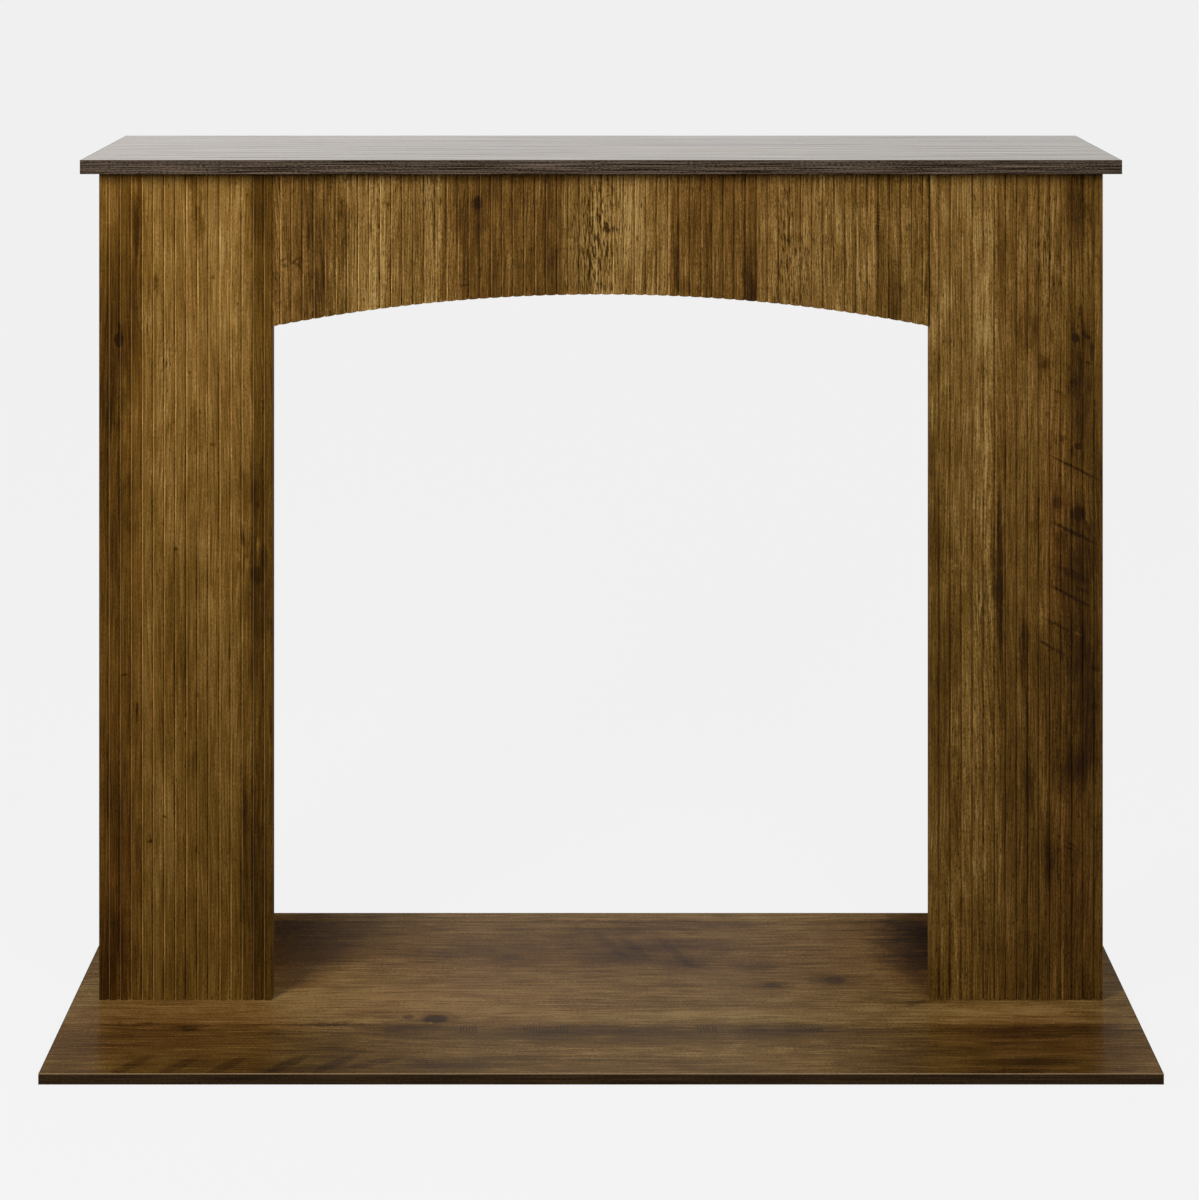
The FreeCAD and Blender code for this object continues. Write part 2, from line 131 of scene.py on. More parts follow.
class FoilColours(PropertyGroup):
    umber: colour_property("Umber", "Ink of the print's stains, knots and dashes", "#271602")
    brown: colour_property("Brown", "Dark streaks of the print", "#412a08")
    tan: colour_property("Tan", "Middle tone of the print", "#664918")
    gold: colour_property("Gold", "Light streaks of the print", "#84632f")
    straw: colour_property("Straw", "Palest fibres of the print", "#ac8d53")
    # Painted sheen: a grey mixed evenly into the print, which stands in for the foil's neutral sheen
    grey_sheen_veil: colour_property("Grey ink", "Dulls the print where its inks are greyer", "#5c5856")
    russet: colour_property("Russet cast", "Multiplies the print where its boards are redder", "#f0d6d2")
    # Painted light and shade on the reeds: light in each groove, a highlight on each reed's left shoulder,
    # and a faint shade beside that highlight
    painted_groove_light: colour_property("Groove glow", "Dodges the foil stretched into a groove", "#cbcac7")
    painted_shoulder_highlight: colour_property("Crease glow", "Dodges the foil on a reed's left shoulder", "#b5b3b1")
    painted_shoulder_haze: colour_property("Crease haze", "Screens the foil on a reed's left shoulder", "#3b3424")
    painted_shoulder_shade: colour_property("Crease shade", "Multiplies the foil beside that shoulder", "#e7e6e3")
    mantel_band: colour_property("Mantel band", "Ground of the mantel's edge banding", "#1c1309")
    mantel_fibre: colour_property("Mantel fibres", "Light fibres of the mantel's edge banding", "#66584b")
    hearth_band: colour_property("Hearth band", "Ground of the hearth's edge banding", "#231608")
    hearth_fibre: colour_property("Hearth fibres", "Light fibres of the hearth's edge banding", "#43321f")
    board: colour_property("Fibreboard", "Raw fibreboard at the cut edges", "#a5855d")
    backing: colour_property("Backing paper", "Plain paper on the hidden faces", "#b89a70")


class FittingColours(PropertyGroup):
    pine: colour_property("Pine", "Summer wood of the planed battens", "#d0ad78")
    pine_dark: colour_property("Pine rings", "Winter wood of the planed battens", "#a87a44")
    beech: colour_property("Beech", "Turned dowels", "#c39a6b")
    zinc: colour_property("Zinc", "Die-cast cam discs", "#a9abad")
    plated: colour_property("Zinc plating", "Screws, bolts and brackets", "#b6b9bd")


class StageSettings(PropertyGroup):
    camera_distance: length_property("Camera distance", "From the hearth's front edge to the lens", 2.433)
    camera_height: length_property("Camera height", "From the floor to the lens", 1.302)
    camera_offset: length_property("Camera offset", "From the middle of the surround to the lens", -0.0017)
    focal_pixels: FloatProperty(
        name="Focal length",
        description="From the lens to the upright picture plane, in the photograph's pixels",
        default=2245.0,
    )
    horizon_pixels: FloatProperty(
        name="Horizon",
        description="The horizon's height above the middle of the photograph, in its pixels",
        default=716.6,
    )
    floor: colour_property("Floor", "Studio floor and backdrop", "#f4f4f4")
    floor_bounce: colour_property("Floor bounce", "What the floor gives back to the surround", "#403e3b")


def add_node(tree, kind, inputs=None, **settings):
    """Adds a node with its settings, and sets or links its inputs, given by name or number."""
    made = tree.nodes.new(kind)
    for name, value in settings.items():
        setattr(made, name, value)
    for key, value in (inputs or {}).items():
        if isinstance(value, bpy.types.Node):
            value = value.outputs[0]
        if isinstance(value, bpy.types.NodeSocket):
            tree.links.new(value, made.inputs[key])
        else:
            made.inputs[key].default_value = value
    return made


def maths(tree, operation, *values, **settings):
    """A Math node on one to three values."""
    return add_node(tree, "ShaderNodeMath", dict(enumerate(values)), operation=operation, **settings)


def vector_maths(tree, operation, *values):
    """A Vector Math node on two or three vectors."""
    return add_node(tree, "ShaderNodeVectorMath", dict(enumerate(values)), operation=operation)


def in_mm(tree, place):
    """A place in metres, in millimetres."""
    return add_node(tree, "ShaderNodeVectorMath", {0: place, "Scale": PER_METRE}, operation="SCALE")


def remap(tree, value, levels, results=(0.0, 1.0)):
    """Takes a value from one range to another, and holds it at the ends."""
    return add_node(tree, "ShaderNodeMapRange", dict(enumerate((value, *levels, *results))))


def mixed(tree, share, first, second, blend="MIX"):
    """The first colour with a share of the second blended in."""
    return add_node(
        tree,
        "ShaderNodeMix",
        {0: share, 6: first, 7: second},
        data_type="RGBA",
        blend_type=blend,
        clamp_factor=True,
    ).outputs[2]


def object_place(tree):
    """A point's place in its object, in metres."""
    return add_node(tree, "ShaderNodeTexCoord").outputs["Object"]


def split(tree, vector):
    """The parts of a vector, by letter or number."""
    return add_node(tree, "ShaderNodeSeparateXYZ", {0: vector}).outputs


def noise(tree, place, size, detail, **inputs):
    """Noise with patches of a size in mm, on a place in metres."""
    settings = {"Vector": place, "Scale": PER_METRE / size, "Detail": detail, **inputs}
    return add_node(tree, "ShaderNodeTexNoise", settings)


def flat_noise(tree, place, scale, detail, offset=(0, 0, 0), roughness=0.6):
    """Noise on a flat sheet, with a scale of its own across and along the sheet."""
    spread = vector_maths(tree, "MULTIPLY_ADD", place, (*scale, 0), offset)
    settings = {"Vector": spread, "Scale": 1.0, "Detail": detail, "Roughness": roughness}
    return add_node(tree, "ShaderNodeTexNoise", settings, noise_dimensions="2D")


def new_material(name):
    """An empty node material."""
    material = bpy.data.materials.new(name)
    material.use_nodes = True
    material.node_tree.nodes.clear()
    return material


def show(tree, surface):
    """Makes a surface what the material shows."""
    add_node(tree, "ShaderNodeOutputMaterial", {"Surface": surface})


# Grain of the print: width across the fibres and length along them in mm, fineness, and share of the tone.
# The finest fibres are about 0.4 mm in such prints and are drawn coarser so that they show.
GRAIN = (
    (70.0, 900.0, 2.0, 0.20),
    (26.0, 48.0, 4.0, 0.34),
    (11.0, 420.0, 3.0, 0.24),
    (5.0, 260.0, 3.0, 0.32),
    (2.1, 130.0, 2.0, 0.54),
    (1.3, 50.0, 1.0, 0.68),
    (1.5, 3.5, 2.0, 0.58),
)
# Grain under this many widths long makes a print mottled
MOTTLE_LENGTH = 3.0
# Width and length of the pressed pores and of the black dashes, in mm
PORE_SIZE = (1.3, 9.0)
DASH_SIZE = (1.4, 14.0)
# Noise levels between which pores and pale flecks come in, and the flecks' greatest share
PORE_LEVELS = (0.54, 0.7)
FLECK_LEVELS = (0.45, 0.36)
FLECK_SHARE = 0.5
# How much sooner dashes come in inside their patches, the noise they come in over, and their ink
DASH_LEAD = 0.1
DASH_FADE = 0.08
DASH_INK = 0.85
# Patches of a redder ink all over the print: their size in mm, noise levels and greatest share
HUE_SIZE = (30.0, 110.0)
HUE_LEVELS = (0.4, 0.66)
HUE_SHARE = 0.2
# How far the tone of a mark in the tables below is taken
MARK_STRENGTH = 1.6
# The share of a detail's half size that fades out at its rim
RIM_SHARE = 0.4
# Noise that bends the fibres and frays stains, details and the planks' edges: its size and reach, in mm
WANDER_SIZE = (70.0, 460.0)
WANDER_REACH = 13.0
BLOT_SIZE = (9.0, 24.0)
BLOT_REACH = (20.0, 60.0)
SCUFF_SIZE = (5.0, 6.0)
SCUFF_REACH = (3.5, 3.5)
SPLINTER_SIZE = (2.0, 14.0)
SPLINTER_REACH = (2.5, 0)
# How far a foil's roughness changes with its fibres, and the fibre heights between which it does
SHEEN_CHANGE = 0.06
SHEEN_LEVELS = (0.3, 0.7)
FOIL_IOR = 1.48
# Patches along the grooves where the painted groove light, the painted shoulder highlight and the painted
# shade beside it are stronger or weaker: their size in mm, noise levels and shares
PAINTED_LINE_PATCH_SIZE = (17.0, 110.0)
PAINTED_LINE_PATCH_LEVELS = (0.34, 0.62)
PAINTED_LINE_PATCH_SHARES = (0.55, 1.2)
# The share of a groove line's half width that has its full strength
LINE_CORE = 0.35


class Print(NamedTuple):
    """A wood print: its marks in mm and how its tone runs.

    marks are soft changes of tone, mostly stains, each with its place across and along the fibres, half
    width, half length, change of tone and, where it is turned, its turn in degrees. On the hearth a few of
    them are painted shadow, and on each jamb a broad one makes the panel lighter towards its top. details
    are the same for knots and saw cuts, which are sharper. boards are the print's planks from left to right,
    each with the place of its left edge, its change of tone and its redness; the last row ends the last
    plank. dashes are patches of short black pores between pale flecks, and reddish are zones of a redder
    board. A higher dash_level leaves fewer black pores outside those patches.

    middle and stretch are the mean tone and the contrast of the grain, mottle is how much of the shortest
    grain shows, grey is the share of an even grey veil that is painted sheen, and shift is where the noise
    starts.
    fibre is the width and length of the pores that are pressed into the foil, and pores is their share of
    dark ink.
    """

    marks: tuple
    details: tuple = ()
    boards: tuple = ()
    dashes: tuple = ()
    reddish: tuple = ()
    grey: float = 0.0
    mottle: float = 1.0
    shift: float = 0.0
    middle: float = 0.5
    stretch: float = 1.0
    pores: float = 0.4
    dash_level: float = 0.6
    fibre: tuple = PORE_SIZE


def set_stops(ramp, stops):
    """Gives a colour ramp its stops."""
    while len(ramp.color_ramp.elements) < len(stops):
        ramp.color_ramp.elements.new(0.5)
    for element, (position, colour) in zip(ramp.color_ramp.elements, stops):
        element.position = position
        element.color = colour


def printed_wood(tree, colours, axes, wood, fold=None):
    """The printed grain of a foil. Returns its colour and its fibre height.

    axes are the letters of the axes across and along the fibres. Where a fold is given, the foil turns a
    panel's upright edges there, and its fibres run on behind that depth.
    """
    parts = split(tree, object_place(tree))
    width = parts[axes[0]]
    if fold is not None:
        behind = maths(tree, "SUBTRACT", parts["Y"], fold)
        past = maths(tree, "MAXIMUM", behind, 0.0)
        width = maths(tree, "ADD", width, past)
    sheet = in_mm(tree, add_node(tree, "ShaderNodeCombineXYZ", {0: width, 1: parts[axes[1]]}))

    def grain_noise(source, size, detail, seed):
        offset = (wood.shift + seed, wood.shift - seed, 0)
        return flat_noise(tree, source, (1 / size[0], 1 / size[1]), detail, offset)

    slow = grain_noise(sheet, WANDER_SIZE, 1.0, seed=3.7)
    bend = maths(tree, "MULTIPLY_ADD", slow, 2 * WANDER_REACH, -WANDER_REACH)
    grain = vector_maths(tree, "ADD", sheet, add_node(tree, "ShaderNodeCombineXYZ", {0: bend}))

    def shaken(size, reach, seed):
        rough = grain_noise(sheet, size, 4.0, seed)
        centred = vector_maths(tree, "SUBTRACT", rough.outputs["Color"], (0.5, 0.5, 0.5))
        return vector_maths(tree, "MULTIPLY_ADD", centred, (*reach, 0), sheet)

    tone = wood.middle
    for number, (width, length, detail, share) in enumerate(GRAIN):
        fibres = grain_noise(grain, (width, length), detail, seed=11.3 * number)
        centred = maths(tree, "SUBTRACT", fibres, 0.5)
        strength = share * wood.stretch * (wood.mottle if length < MOTTLE_LENGTH * width else 1.0)
        tone = maths(tree, "MULTIPLY_ADD", centred, strength, tone)

    redness = 0.0
    if wood.boards:
        low, high = wood.boards[0][0], wood.boards[-1][0]
        frayed = shaken(SPLINTER_SIZE, SPLINTER_REACH, seed=7.7)
        position = remap(tree, split(tree, frayed)[0], (low, high))
        # A ramp holds no negative numbers, so the changes of tone are kept around 0.5 in it
        planks = add_node(tree, "ShaderNodeValToRGB", {0: position})
        planks.color_ramp.interpolation = "CONSTANT"
        set_stops(planks, [
            ((edge - low) / (high - low), (0.5 + change, red, 0, 1)) for edge, change, red in wood.boards
        ])
        levels = add_node(tree, "ShaderNodeSeparateColor", {0: planks}).outputs
        tone = maths(tree, "ADD", tone, levels[0])
        tone = maths(tree, "SUBTRACT", tone, 0.5)
        redness = levels[1]

    def faded(total, source, rim, x, y, width, length, change, turn=0):
        place = {
            "Vector": source,
            "Location": (x, y, 0),
            "Rotation": (0, 0, math.radians(turn)),
            "Scale": (width, length, 1),
        }
        spot = add_node(tree, "ShaderNodeMapping", place, vector_type="TEXTURE")
        fade = add_node(tree, "ShaderNodeTexGradient", {0: spot}, gradient_type="SPHERICAL")
        level = remap(tree, fade.outputs[1], (0.0, rim))
        return maths(tree, "MULTIPLY_ADD", level, change * MARK_STRENGTH, total)

    blotted = shaken(BLOT_SIZE, BLOT_REACH, seed=5.1)
    scuffed = shaken(SCUFF_SIZE, SCUFF_REACH, seed=8.3)
    for mark in wood.marks:
        tone = faded(tone, blotted, 1.0, *mark)
    for detail in wood.details:
        tone = faded(tone, scuffed, RIM_SHARE, *detail)
    ramp = add_node(tree, "ShaderNodeValToRGB", {0: tone})
    set_stops(ramp, (
        (0.0, colours.umber),
        (0.22, colours.brown),
        (0.5, colours.tan),
        (0.68, colours.gold),
        (0.9, colours.straw),
    ))

    hue = grain_noise(grain, HUE_SIZE, 3.0, seed=29.0)
    patchy = remap(tree, hue, HUE_LEVELS, (0.0, HUE_SHARE))
    redness = maths(tree, "ADD", patchy, redness)
    for zone in wood.reddish:
        redness = faded(redness, blotted, 1.0, *zone)
    colour = mixed(tree, redness, ramp, colours.russet, "MULTIPLY")
    # Painted sheen: an even share of grey over the print, for the foil's neutral sheen
    colour = mixed(tree, wood.grey, colour, colours.grey_sheen_veil)

    pores = grain_noise(grain, wood.fibre, 2.0, seed=41.0)
    ink = remap(tree, pores, PORE_LEVELS, (0.0, wood.pores))
    if wood.dashes:
        patch = 0.0
        for zone in wood.dashes:
            patch = faded(patch, blotted, 1.0, *zone)
        specks = grain_noise(grain, DASH_SIZE, 2.0, seed=63.0)
        near = maths(tree, "MULTIPLY_ADD", patch, DASH_LEAD, specks)
        black = remap(tree, near, (wood.dash_level, wood.dash_level + DASH_FADE), (0.0, DASH_INK))
        ink = maths(tree, "MAXIMUM", ink, black)
        flecks = remap(tree, specks, FLECK_LEVELS, (0.0, FLECK_SHARE))
        pale = maths(tree, "MULTIPLY", flecks, patch, use_clamp=True)
        colour = mixed(tree, pale, colour, colours.straw)
    return mixed(tree, ink, colour, colours.umber), pores


def foil_surface(tree, colour, height, roughness, specular, relief):
    """A printed foil's surface over its colour, with the fibres pressed in by a relief in mm.

    The roughness changes a little with the fibres.
    """
    bump = {"Height": height, "Strength": 0.35, "Distance": relief * MM}
    press = add_node(tree, "ShaderNodeBump", bump, invert=True)
    sheen = remap(tree, height, SHEEN_LEVELS, (roughness - SHEEN_CHANGE, roughness + SHEEN_CHANGE))
    return add_node(tree, "ShaderNodeBsdfPrincipled", {
        "Base Color": colour,
        "Roughness": sheen,
        "IOR": FOIL_IOR,
        "Specular IOR Level": specular,
        "Normal": press,
    })


def facing(tree, axis, sign):
    """1 where the surface faces along an axis of the object, and 0 elsewhere."""
    normal = add_node(tree, "ShaderNodeTexCoord").outputs["Normal"]
    turned = maths(tree, "MULTIPLY", split(tree, normal)[axis], sign)
    return maths(tree, "GREATER_THAN", turned, 0.5)


def raw_board(tree, colours):
    """The hidden faces of a board: plain backing paper over fibreboard, dull and faintly flecked."""
    place = object_place(tree)
    flecks = noise(tree, place, size=2.5, detail=4.0, Roughness=0.7)
    clouds = noise(tree, place, size=90.0, detail=2.0)
    share = remap(tree, maths(tree, "ADD", flecks, clouds), (0.8, 1.25))
    colour = mixed(tree, share, colours.board, colours.backing)
    tooth = add_node(tree, "ShaderNodeBump", {"Height": flecks, "Strength": 0.3, "Distance": 0.1 * MM})
    return add_node(tree, "ShaderNodeBsdfPrincipled", {
        "Base Color": colour,
        "Roughness": 0.8,
        "Specular IOR Level": 0.3,
        "Normal": tooth,
    })


# Marks of the print, in mm: across, along, half width, half length, change of tone, turn in degrees
LEFT_JAMB_MARKS = (
    # A broad mark that makes the panel lighter towards its top
    (-480, 1000, 5000, 1000, 0.11),
    (-562, 480, 30, 260, -0.05),
    (-560, 830, 26, 90, -0.22),
    (-580, 740, 12, 180, -0.16),
    (-536, 918, 12, 50, -0.16),
    (-562, 735, 20, 85, -0.24),
    (-560, 560, 22, 130, -0.10),
    (-463, 930, 6, 70, -0.14),
    (-435, 850, 22, 150, 0.07),
    (-500, 640, 26, 150, 0.05),
    (-490, 425, 26, 110, -0.10),
    (-447, 400, 22, 190, 0.05),
    (-403, 600, 24, 40, -0.16),
    (-400, 470, 22, 110, -0.18),
    (-471, 284, 9, 30, -0.14),
    (-505, 240, 22, 220, 0.06),
    (-505, 320, 20, 50, -0.1),
    (-412, 383, 16, 50, -0.1),
    (-560, 96, 20, 60, -0.16),
    (-560, 240, 20, 90, -0.16),
    (-560, 40, 30, 60, -0.14),
    (-404, 150, 24, 200, -0.16),
    (-411, 230, 9, 40, -0.12),
    (-480, 60, 30, 90, -0.06),
    (-538, 800, 12, 100, -0.16),
    (-576, 594, 10, 60, -0.12),
    (-578, 60, 12, 160, -0.14),
    (-564, 690, 14, 40, -0.12),
    (-396, 925, 22, 90, -0.15),
    (-467, 916, 8, 50, -0.1),
    (-426, 970, 12, 30, -0.1),
    (-531, 189, 7, 50, -0.1),
    (-568, 640, 14, 50, -0.12),
    (-474, 966, 9, 24, -0.12),
    (-546, 583, 10, 50, -0.1),
    (-549, 926, 10, 50, -0.1),
    (-576, 290, 9, 70, -0.08),
    (-413, 530, 8, 24, -0.1),
    (-472, 959, 9, 24, -0.12),
    (-495, 690, 8, 40, -0.1),
    (-546, 828, 9, 40, 0.1),
    (-469, 678, 8, 40, -0.1),
)
LEFT_JAMB_DETAILS = (
    (-557, 775, 6.4, 10, -0.24),
    (-556, 788, 3, 7, -0.1),
    (-515, 841, 4, 10, -0.12),
    (-537, 900, 4, 50, -0.12),
    (-449, 847, 4, 2.4, -0.12, 30),
    (-448, 654, 4, 2.4, -0.1, 10),
    (-475, 737, 2, 2.6, -0.12),
    (-463, 691, 2.4, 3, -0.12),
    (-390, 697, 2, 12, -0.14),
    (-491, 533, 2.6, 3.2, -0.26),
    (-490, 527, 1.6, 4, -0.12),
    (-396, 584, 2, 2.6, -0.14),
    (-414, 548, 3, 18, -0.12, 10),
    (-396, 538, 2.6, 11, 0.12),
    (-419, 524, 2.2, 8, 0.1),
    (-409, 516, 2.4, 8, 0.1),
    (-397, 503, 10, 12, -0.1),
    (-389, 522, 6, 16, -0.1),
    (-536, 349, 1.7, 9, -0.24),
    (-536, 337, 1.6, 8, -0.14),
    (-550, 388, 6.5, 1.5, -0.14, 4),
    (-466, 364, 2, 4, -0.16),
    (-480, 341, 1.8, 4, -0.16),
    (-480, 320, 1.5, 4, -0.12),
    (-429, 412, 2, 10, -0.14),
    (-504, 223.5, 3, 1.9, -0.24),
    (-520, 195.5, 2.2, 2.8, -0.26),
    (-524, 195.5, 1.6, 1.6, -0.14),
    (-467, 186, 1.4, 6, -0.12),
    (-412, 200, 5, 190, -0.07),
)
LEFT_JAMB_BOARDS = (
    (-580, -0.06, 0.2),
    (-531, 0.0, 0.0),
    (-432, 0.03, 0.0),
    (-404, -0.17, 0.0),
    (-380, -0.17, 0.0),
)
LEFT_JAMB_DASHES = ((-522, 805, 14, 36, 0.5), (-499, 752, 12, 30, 0.7))
LEFT_JAMB_REDDISH = ((-556, 150, 32, 260, 0.3),)

HEADER_MARKS = (
    (-340, 885, 9, 80, -0.04),
    (-324, 845, 8, 70, -0.12),
    (-300, 920, 6, 50, -0.16),
    (-264, 870, 8, 190, 0.10),
    (-163, 920, 7, 50, -0.14),
    (-142, 925, 16, 40, -0.12),
    (-57, 850, 8, 70, -0.06),
    (28, 890, 13, 140, 0.05),
    (86, 870, 6, 100, -0.14),
    (171, 850, 9, 56, -0.2),
    (172, 826, 8, 20, -0.2),
    (308, 840, 12, 60, 0.04),
    (338, 830, 10, 60, -0.14),
    (28, 838, 10, 30, -0.12),
    (-299, 964, 6, 24, 0.18),
    (-186, 836, 7, 26, -0.1),
    (-74, 836, 9, 26, -0.1),
    (-42, 836, 8, 24, -0.1),
    (229, 864, 14, 30, 0.1),
    (-359, 836, 10, 26, 0.1),
    (-150, 905, 8, 30, 0.08),
    (374, 838, 8, 30, -0.1),
    (297, 902, 8, 40, -0.1),
    (243, 960, 8, 30, -0.08),
    (61, 836, 9, 26, 0.1),
    (370, 907, 8, 50, 0.08),
    (343, 964, 8, 24, 0.08),
    (-297, 940, 8, 24, 0.12),
    (-74, 834, 10, 14, -0.1),
    (348, 834, 10, 14, -0.1),
    (-54, 903, 8, 30, 0.1),
    (-80, 888, 8, 30, -0.1),
    (99, 834, 10, 14, -0.1),
)
HEADER_DETAILS = (
    (-142, 933, 5.8, 9.6, -0.26),
    (-366, 868, 7, 1.6, -0.16, 28),
    (-367, 861, 6, 1.6, -0.14, -20),
    (-353, 866, 8, 1.5, -0.16, 38),
    (-352, 862, 8, 1.5, -0.16, -35),
    (-347, 868, 2, 6, -0.12),
    (-338, 893, 2.4, 22, -0.12),
    (-157, 838, 8, 2, -0.1),
    (-139, 853, 2, 8, -0.12),
    (88, 877, 3, 10, -0.14),
    (88, 846, 5, 16, -0.12),
    # A row of short saw cuts
    *((321, 930 - 4 * i, 4.5, 1.1, -0.1, -15) for i in range(11)),
)
HEADER_BOARDS = (
    (-380, -0.09, 0.2),
    (-339, -0.10, 0.1),
    (-313, -0.02, 0.0),
    (-289, 0.10, 0.0),
    (-251, 0.03, 0.0),
    (-187, -0.05, 0.2),
    (-162, -0.15, 0.25),
    (-124, -0.12, 0.2),
    (-98, -0.13, 0.15),
    (-47, 0.0, 0.0),
    (-9, 0.10, 0.0),
    (80, -0.08, 0.25),
    (181, 0.03, 0.1),
    (245, 0.06, 0.0),
    (317, -0.10, 0.0),
    (346, 0.02, 0.0),
    (380, 0.02, 0.0),
)
HEADER_DASHES = (
    (-6, 885, 44, 110, 1.0),
    (226, 855, 34, 70, 0.7),
    (214, 930, 10, 50, 0.8),
    (-196, 945, 18, 50, 0.6),
)

RIGHT_JAMB_MARKS = (
    # A broad mark that makes the panel lighter towards its top
    (480, 1000, 5000, 1000, 0.11),
    (440, 800, 18, 190, 0.08),
    (462, 870, 10, 70, -0.14),
    (550, 935, 17, 66, -0.22),
    (556, 735, 20, 80, -0.22),
    (493, 790, 16, 36, -0.16),
    (511, 749, 10, 18, -0.16),
    (443, 610, 12, 130, 0.10),
    (388, 545, 16, 90, -0.14),
    (392, 380, 24, 150, -0.18),
    (576, 600, 14, 150, -0.14),
    (459, 480, 8, 130, -0.26),
    (487, 410, 7, 75, -0.22),
    (548, 578, 22, 26, -0.12),
    (550, 520, 30, 70, -0.12),
    (560, 415, 34, 100, -0.22),
    (514, 460, 9, 60, 0.08),
    (501, 565, 12, 44, -0.1),
    (407, 283, 12, 44, -0.12),
    (520, 420, 40, 120, -0.10),
    (425, 280, 16, 220, 0.10),
    (495, 190, 14, 100, -0.06),
    (516, 176, 8, 70, -0.16),
    (549, 280, 28, 36, -0.22),
    (562, 325, 22, 60, -0.22),
    (500, 45, 24, 60, -0.10),
    (382, 645, 8, 60, -0.16),
    (397, 636, 8, 50, -0.1),
    (395, 816, 10, 50, 0.12),
    (395, 964, 10, 30, -0.12),
    (551, 690, 14, 75, -0.12),
    (562, 655, 14, 60, -0.1),
    (568, 520, 12, 60, -0.14),
    (411, 486, 10, 60, -0.12),
    (419, 442, 9, 60, -0.1),
    (493, 262, 9, 50, -0.12),
    (494, 313, 9, 40, -0.1),
    (524, 333, 12, 40, -0.1),
    (469, 110, 12, 50, 0.12),
    (572, 962, 9, 40, -0.16),
    (567, 916, 10, 40, -0.1),
    (494, 240, 9, 50, -0.06),
    (390, 36, 22, 30, -0.1),
    (576, 184, 8, 60, -0.1),
    (552, 505, 24, 36, -0.08),
    (556, 400, 20, 50, -0.08),
    (530, 541, 14, 16, -0.14),
    (501, 554, 10, 30, -0.12),
    (437, 177, 10, 50, 0.12),
    (411, 226, 9, 40, -0.12),
    (522, 278, 9, 40, -0.12),
    (551, 704, 8, 40, 0.1),
)
RIGHT_JAMB_DETAILS = (
    (548, 777, 5.2, 6.6, -0.24),
    (553, 784, 5, 2, 0.1, -40),
    (560, 780, 9, 2.6, -0.18, -35),
    (567, 761, 1.9, 15, -0.18),
    (564, 748, 6, 1.8, -0.12, -24),
    (546, 726, 5, 4, -0.12),
    (554, 808, 3.2, 9, -0.12),
    (528, 714, 10, 1.6, -0.12, -28),
    (511, 746, 5.5, 6, -0.12),
    (521, 778, 2.5, 10, -0.12),
    (534, 661, 5, 4, -0.12),
    (551, 652, 6, 5, -0.18),
    (545, 645, 2.5, 8, -0.12),
    (531, 618, 3, 3, -0.12),
    (547, 627, 36, 2, -0.2, -26.6),
    (528, 586, 7, 9, -0.12),
    (552, 574, 9, 10, -0.18),
    (562, 559, 3, 12, -0.12, 20),
    (546, 552, 33, 2.6, -0.2, -26.5),
    (545, 504, 26, 5.5, -0.1, -27),
    (556, 486, 11, 2, -0.12, -27),
    (542, 479, 34, 2.3, -0.2, -28),
    (528, 445, 21, 1.8, -0.12, -28),
    (551, 435, 6, 1.8, 0.16, -28),
    (514, 423, 10, 2, -0.2, -33),
    (528, 415, 11, 2.5, -0.12, -30),
    (570, 395, 8, 2, -0.12, -27),
    (570, 351, 5, 6, -0.12),
    (488, 434, 2, 30, -0.16),
    (492, 344, 2, 24, -0.12),
    (517, 177, 3, 42, -0.12),
    (508, 451, 3, 24, 0.12),
    (483, 365, 4, 46, 0.08),
    (512, 241, 3.5, 34, 0.12),
    (460, 180, 2.4, 80, 0.1),
    (541, 187, 10, 1.5, -0.14, -27),
    (545, 191, 9, 1.4, -0.12, -27),
    (529, 186, 2.5, 3.5, -0.14),
    (530, 201, 3, 3, -0.12),
    (545, 157, 2.5, 2.5, -0.14),
    (459, 560, 1.6, 40, -0.2),
    (462, 500, 3, 75, -0.14),
    (463, 440, 2.2, 60, -0.1),
    (404, 519, 3, 2.5, 0.1),
    (410, 514, 4, 2, 0.1),
    (416, 522, 2, 6, 0.08, -20),
    (420, 545, 1.6, 22, 0.08, -5),
    (404, 560, 1.4, 40, -0.06, 4),
)
RIGHT_JAMB_BOARDS = (
    (380, 0.0, 0.0),
    (457, -0.09, 0.1),
    (534, -0.15, 0.1),
    (564, -0.12, 0.0),
    (580, -0.12, 0.0),
)
RIGHT_JAMB_DASHES = ((516, 870, 30, 90, 0.5), (437, 460, 16, 50, 0.5))
RIGHT_JAMB_REDDISH = ((545, 180, 46, 220, 0.2), (526, 560, 22, 200, 0.35))

